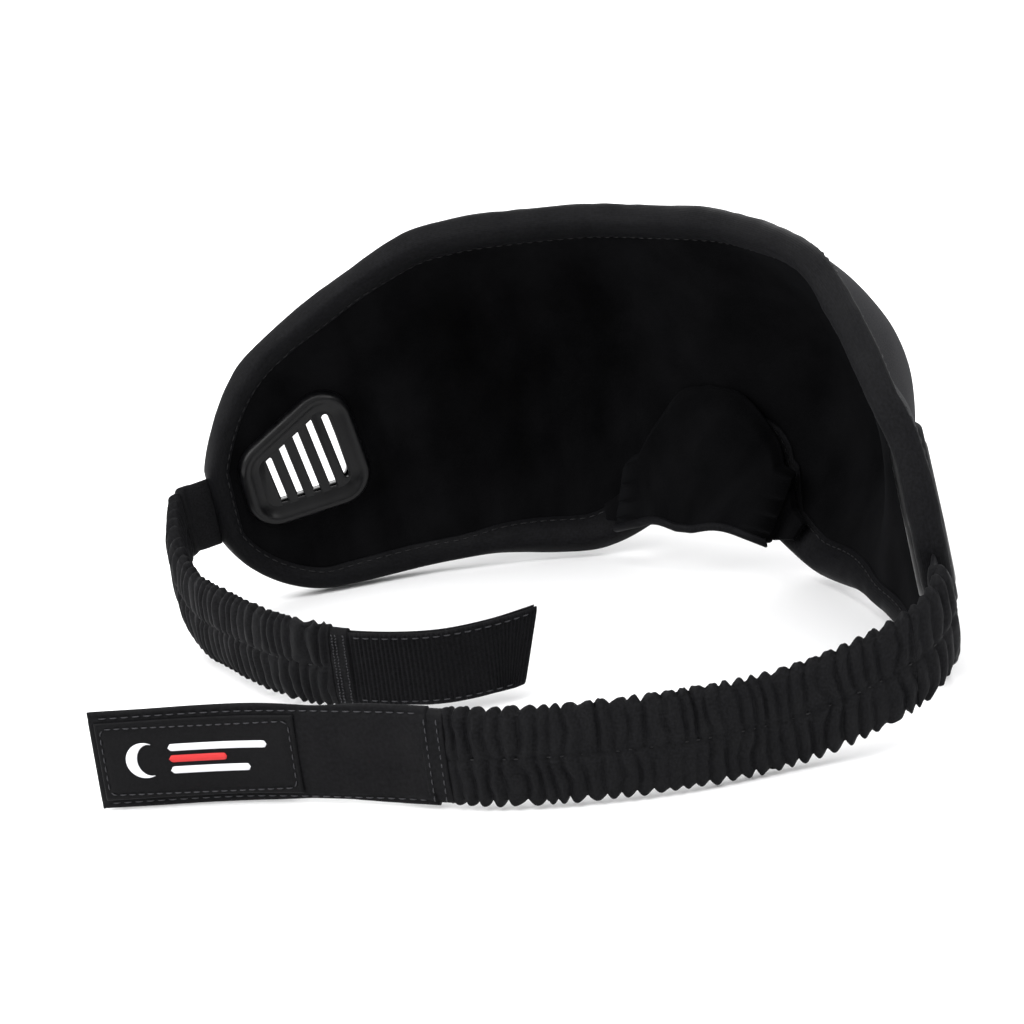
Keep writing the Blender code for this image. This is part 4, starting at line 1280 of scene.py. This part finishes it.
def emblem_shapes():
    """A crescent and three plain bars, as pairs of edge curves and a thread colour."""
    turn = np.linspace(math.radians(62), math.radians(298), 40)
    outer = np.stack((np.cos(turn), np.sin(turn)), -1) * 3.6
    inner = np.stack((np.cos(turn) * 2.75 + 1.35, np.sin(turn) * 2.75), -1)
    ends = np.sin((turn - turn[0]) / (turn[-1] - turn[0]) * math.pi)[:, None] ** 0.6
    inner = outer + (inner - outer) * ends
    shapes = [(outer + (-11.0, 0), inner + (-11.0, 0), "white_thread")]
    for start, length, z, colour in ((-6.0, 20.0, 2.3, "white_thread"), (-6.0, 11.5, 0.0, "red_thread"),
                                     (-6.0, 16.0, -2.3, "white_thread")):
        along = np.linspace(0, length, 44)
        half = 0.72 * np.sqrt(np.clip(1 - ((np.abs(along - length / 2) - length / 2 + 0.72) / 0.72)
                                      .clip(0, 1) ** 2, 0.0, 1.0))
        shapes.append((np.stack((start + along, z + half), -1), np.stack((start + along, z - half), -1),
                       colour))
    return shapes


def emblem(name, surface, middle, size, body):
    """Embroiders the emblem on a surface(a, z, lift); it reads from larger a to smaller."""
    for k, (upper, lower, colour) in enumerate(emblem_shapes()):
        share = np.linspace(0, 1, 9)
        flat = (upper[:, None] * (1 - share)[:, None] + lower[:, None] * share[:, None]) * size
        lift = 0.02 + 0.3 * np.sin(share * math.pi) ** 0.6
        a, z = middle - flat[..., 0], flat[..., 1]
        points = surface(a, z, np.broadcast_to(lift, a.shape))
        piece = skin(f"{name}_{k}", points, flat, LOOKS[colour])
        keep(piece, body, "patch")


LABEL_SPAN = (23.0, 57.0)
LABEL_TOP = 1.6
LABEL_SECTION = ((0.0, 3.25), (-0.8, 3.8), (-2.2, 4.2), (-4.6, 4.45), (-6.4, 4.5), (-7.0, 4.3),
                 (-6.9, 3.85), (-5.6, 3.7), (-3.6, 3.65), (-1.6, 3.5), (-0.6, 3.15))


def label():
    """A folded woven label that hangs from the top binding, with its pale cut end."""
    section = smooth_section(LABEL_SECTION, 1)

    def surface(s, drop, out):
        top = edges(s)[1] - LABEL_TOP
        wave = noise(s, 9.0, 101) * 0.25 * np.clip(-drop / 6.0, 0, 1)
        return on_face(s, top + drop, out + wave)

    def piece(name, s, look, grow):
        points = np.stack([surface(s, np.full(s.shape, d), np.full(s.shape, o + grow * np.sign(o - 3.9)))
                           for d, o in section], 1)
        uv = uv_grid(s, np.arange(len(section) + 1) * 0.6)
        return skin(name, points, uv, look, wrap_cols=True, caps=True)

    cloth = piece("label_cloth", np.linspace(*LABEL_SPAN, 60), LOOKS["patch"], 0.0)
    keep(cloth, "mask_body", "patch", "front_label")
    cut = piece("label_cut_end", np.linspace(LABEL_SPAN[1] - 0.1, LABEL_SPAN[1] + 0.5, 4),
                LOOKS["white_thread"], -0.1)
    keep(cut, "mask_body", "patch")

    def front(a, z, lift):
        drop = -3.3 + z
        out = np.interp(drop, (-6.4, -4.6, -2.2, -0.8), (4.5, 4.45, 4.2, 3.8))
        return surface(-a, drop, out + lift)

    emblem("label_emblem", front, -sum(LABEL_SPAN) / 2, 0.6, "mask_body")


# ---------------------------------------------------------------- nose baffle


def baffle_place(x, h):
    """Where the flap is at x across and h high: the place s and the offset out of the face."""
    reach = np.minimum(1.0, np.abs(x) / BAFFLE_HALF)
    fall = (BAFFLE_TOP - h) / (BAFFLE_TOP - BAFFLE_HEM)
    back = -BAFFLE_BACK - BAFFLE_BELLY * fall * (1.0 - reach ** 2) - fall
    return x * (1.0 - BAFFLE_NARROWING * fall * reach), back


def baffle():
    """The soft flap behind the nose notch, flat and close at its sewn root, and its rolled hem."""
    x = np.linspace(-FLAP_FOOT[0], FLAP_FOOT[0], 100)[None, :]
    share = np.linspace(0, 1, 44)[:, None]
    top = through(BAFFLE_EDGE + (FLAP_FOOT,), np.abs(x))
    low = BAFFLE_HEM + 1.0
    h = top + (low - top) * share
    spread, back = baffle_place(x, h)
    rooted = smooth(share, 0.0, FLAP_ROOT)
    waves = (noise2(x, h, 12.0, 111) * 0.6 + noise2(x, h * 0.4, 5.0, 112) * 0.2) * rooted
    sewn_back = 3.95 - 1.15 * smooth(h, 14.0, 20.0)
    back = back + waves + (1.0 - rooted) * (BAFFLE_BACK - sewn_back)
    front = on_face(spread, h, back)
    rear = on_face(spread, h, back - BAFFLE_THICK * (0.35 + 0.65 * rooted))
    uv = np.stack(np.broadcast_arrays(x, h), -1)
    uv = np.concatenate((uv, uv[::-1], uv[:1]))
    flap = skin("nose_flap_cloth", np.concatenate((front, rear[::-1])), uv, LOOKS["velvet"], wrap_rows=True)
    close_tips(flap)
    keep(flap, None, "velvet_lining", "nose_baffle")
    hinge = on_face(0.0, BAFFLE_TOP - 2.0, -BAFFLE_BACK)
    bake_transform(flap)
    x = np.linspace(-BAFFLE_HALF, BAFFLE_HALF, 70)
    h = np.full(x.shape, BAFFLE_HEM + HEM_HEIGHT / 2)
    spread, back = baffle_place(x, h)
    wave = noise2(x, low, 12.0, 111) * 0.6
    middle, _, normal, up = tangent_frame(face, spread, h)
    middle = middle + normal * (back - BAFFLE_THICK / 2 + wave)[:, None]
    turn = np.linspace(0, TURN, 14, endpoint=False)
    size = np.sqrt(np.clip(1 - (np.abs(x) / (BAFFLE_HALF + 0.2)) ** 30, 0.02, 1.0))[:, None, None]
    rings = middle[:, None] + size * (normal[:, None] * (1.15 * np.cos(turn))[:, None]
                                      + up[:, None] * (HEM_HEIGHT * 0.62 * np.sin(turn))[:, None])
    uv = uv_grid(x, np.arange(15) * 0.4)
    hem = skin("nose_flap_hem", rings, uv, LOOKS["trim"], wrap_cols=True, caps=True)
    keep(hem, "nose_flap", "edge_trim", "baffle_hem")
    line = middle + up * 1.9 + normal * 0.75
    row = stitches("nose_flap_stitches", line, normal, LOOKS["black_thread"], 2.4, 1.6, 0.15, 0.02)
    keep(row, "nose_flap", "edge_trim")


# ---------------------------------------------------------------- stage, light and camera


def stage():
    mesh = bpy.data.meshes.new("floor")
    builder = bmesh.new()
    bmesh.ops.create_circle(builder, cap_ends=True, segments=64, radius=FLOOR_RADIUS)
    builder.to_mesh(mesh)
    builder.free()
    mesh.uv_layers.new(name="UVMap")
    mesh.materials.append(floor_look())
    floor = bpy.data.objects.new("floor", mesh)
    floor.location.z = cad_box[0][2] - 0.0002
    bpy.context.collection.objects.link(floor)


def view_axes(azimuth, elevation, roll):
    """The camera's right, up and back directions."""
    a, e, r = (math.radians(v) for v in (azimuth, elevation, roll))
    back = Vector((math.sin(a) * math.cos(e), -math.cos(a) * math.cos(e), math.sin(e)))
    level = Vector((math.cos(a), math.sin(a), 0.0))
    rise = back.cross(level)
    return (level * math.cos(r) + rise * math.sin(r), rise * math.cos(r) - level * math.sin(r), back)


def camera():
    right, up, back = view_axes(VIEW_AZIMUTH, VIEW_ELEVATION, VIEW_ROLL)
    spot = Vector(to_world(VIEW_PIVOT)) + back * VIEW_DISTANCE
    back = (spot - Vector(to_world(VIEW_AIM))).normalized()
    right = (right - back * right.dot(back)).normalized()
    up = back.cross(right)
    data = bpy.data.cameras.new("camera")
    data.lens = VIEW_LENS
    data.clip_start = 0.01
    made = bpy.data.objects.new("camera", data)
    turn = Matrix((right, up, back)).transposed().to_4x4()
    made.matrix_world = Matrix.Translation(spot) @ turn
    bpy.context.collection.objects.link(made)
    bpy.context.scene.camera = made


def light(name, azimuth, elevation, distance, size, power):
    """A soft square light that points at the mask."""
    data = bpy.data.lights.new(name, "AREA")
    data.size = size
    data.energy = power
    right, up, back = view_axes(azimuth, elevation, 0.0)
    made = bpy.data.objects.new(name, data)
    turn = Matrix((right, up, back)).transposed().to_4x4()
    made.matrix_world = Matrix.Translation(Vector((0.0, 0.0, 0.05)) + back * distance) @ turn
    bpy.context.collection.objects.link(made)


def lights():
    bpy.context.scene.view_settings.view_transform = "Standard"
    world = bpy.data.worlds.new("studio")
    bpy.context.scene.world = world
    world.use_nodes = True
    sky = world.node_tree.nodes["Background"]
    sky.inputs["Color"].default_value = (1.0, 1.0, 1.0, 1.0)
    sky.inputs["Strength"].default_value = SKY_STRENGTH
    for name, (aside, *rest) in LIGHTS.items():
        light(name, VIEW_AZIMUTH + aside, *rest)


face_layers()
binding()
for side, word in WORDS.items():
    vent(side, word)
    sleeve(side, word, STRAPS[side])
    elastic_core(side, word, STRAPS[side])
left_end(STRAPS[1])
right_end(STRAPS[-1])
label()
baffle()
stage()
lights()
camera()
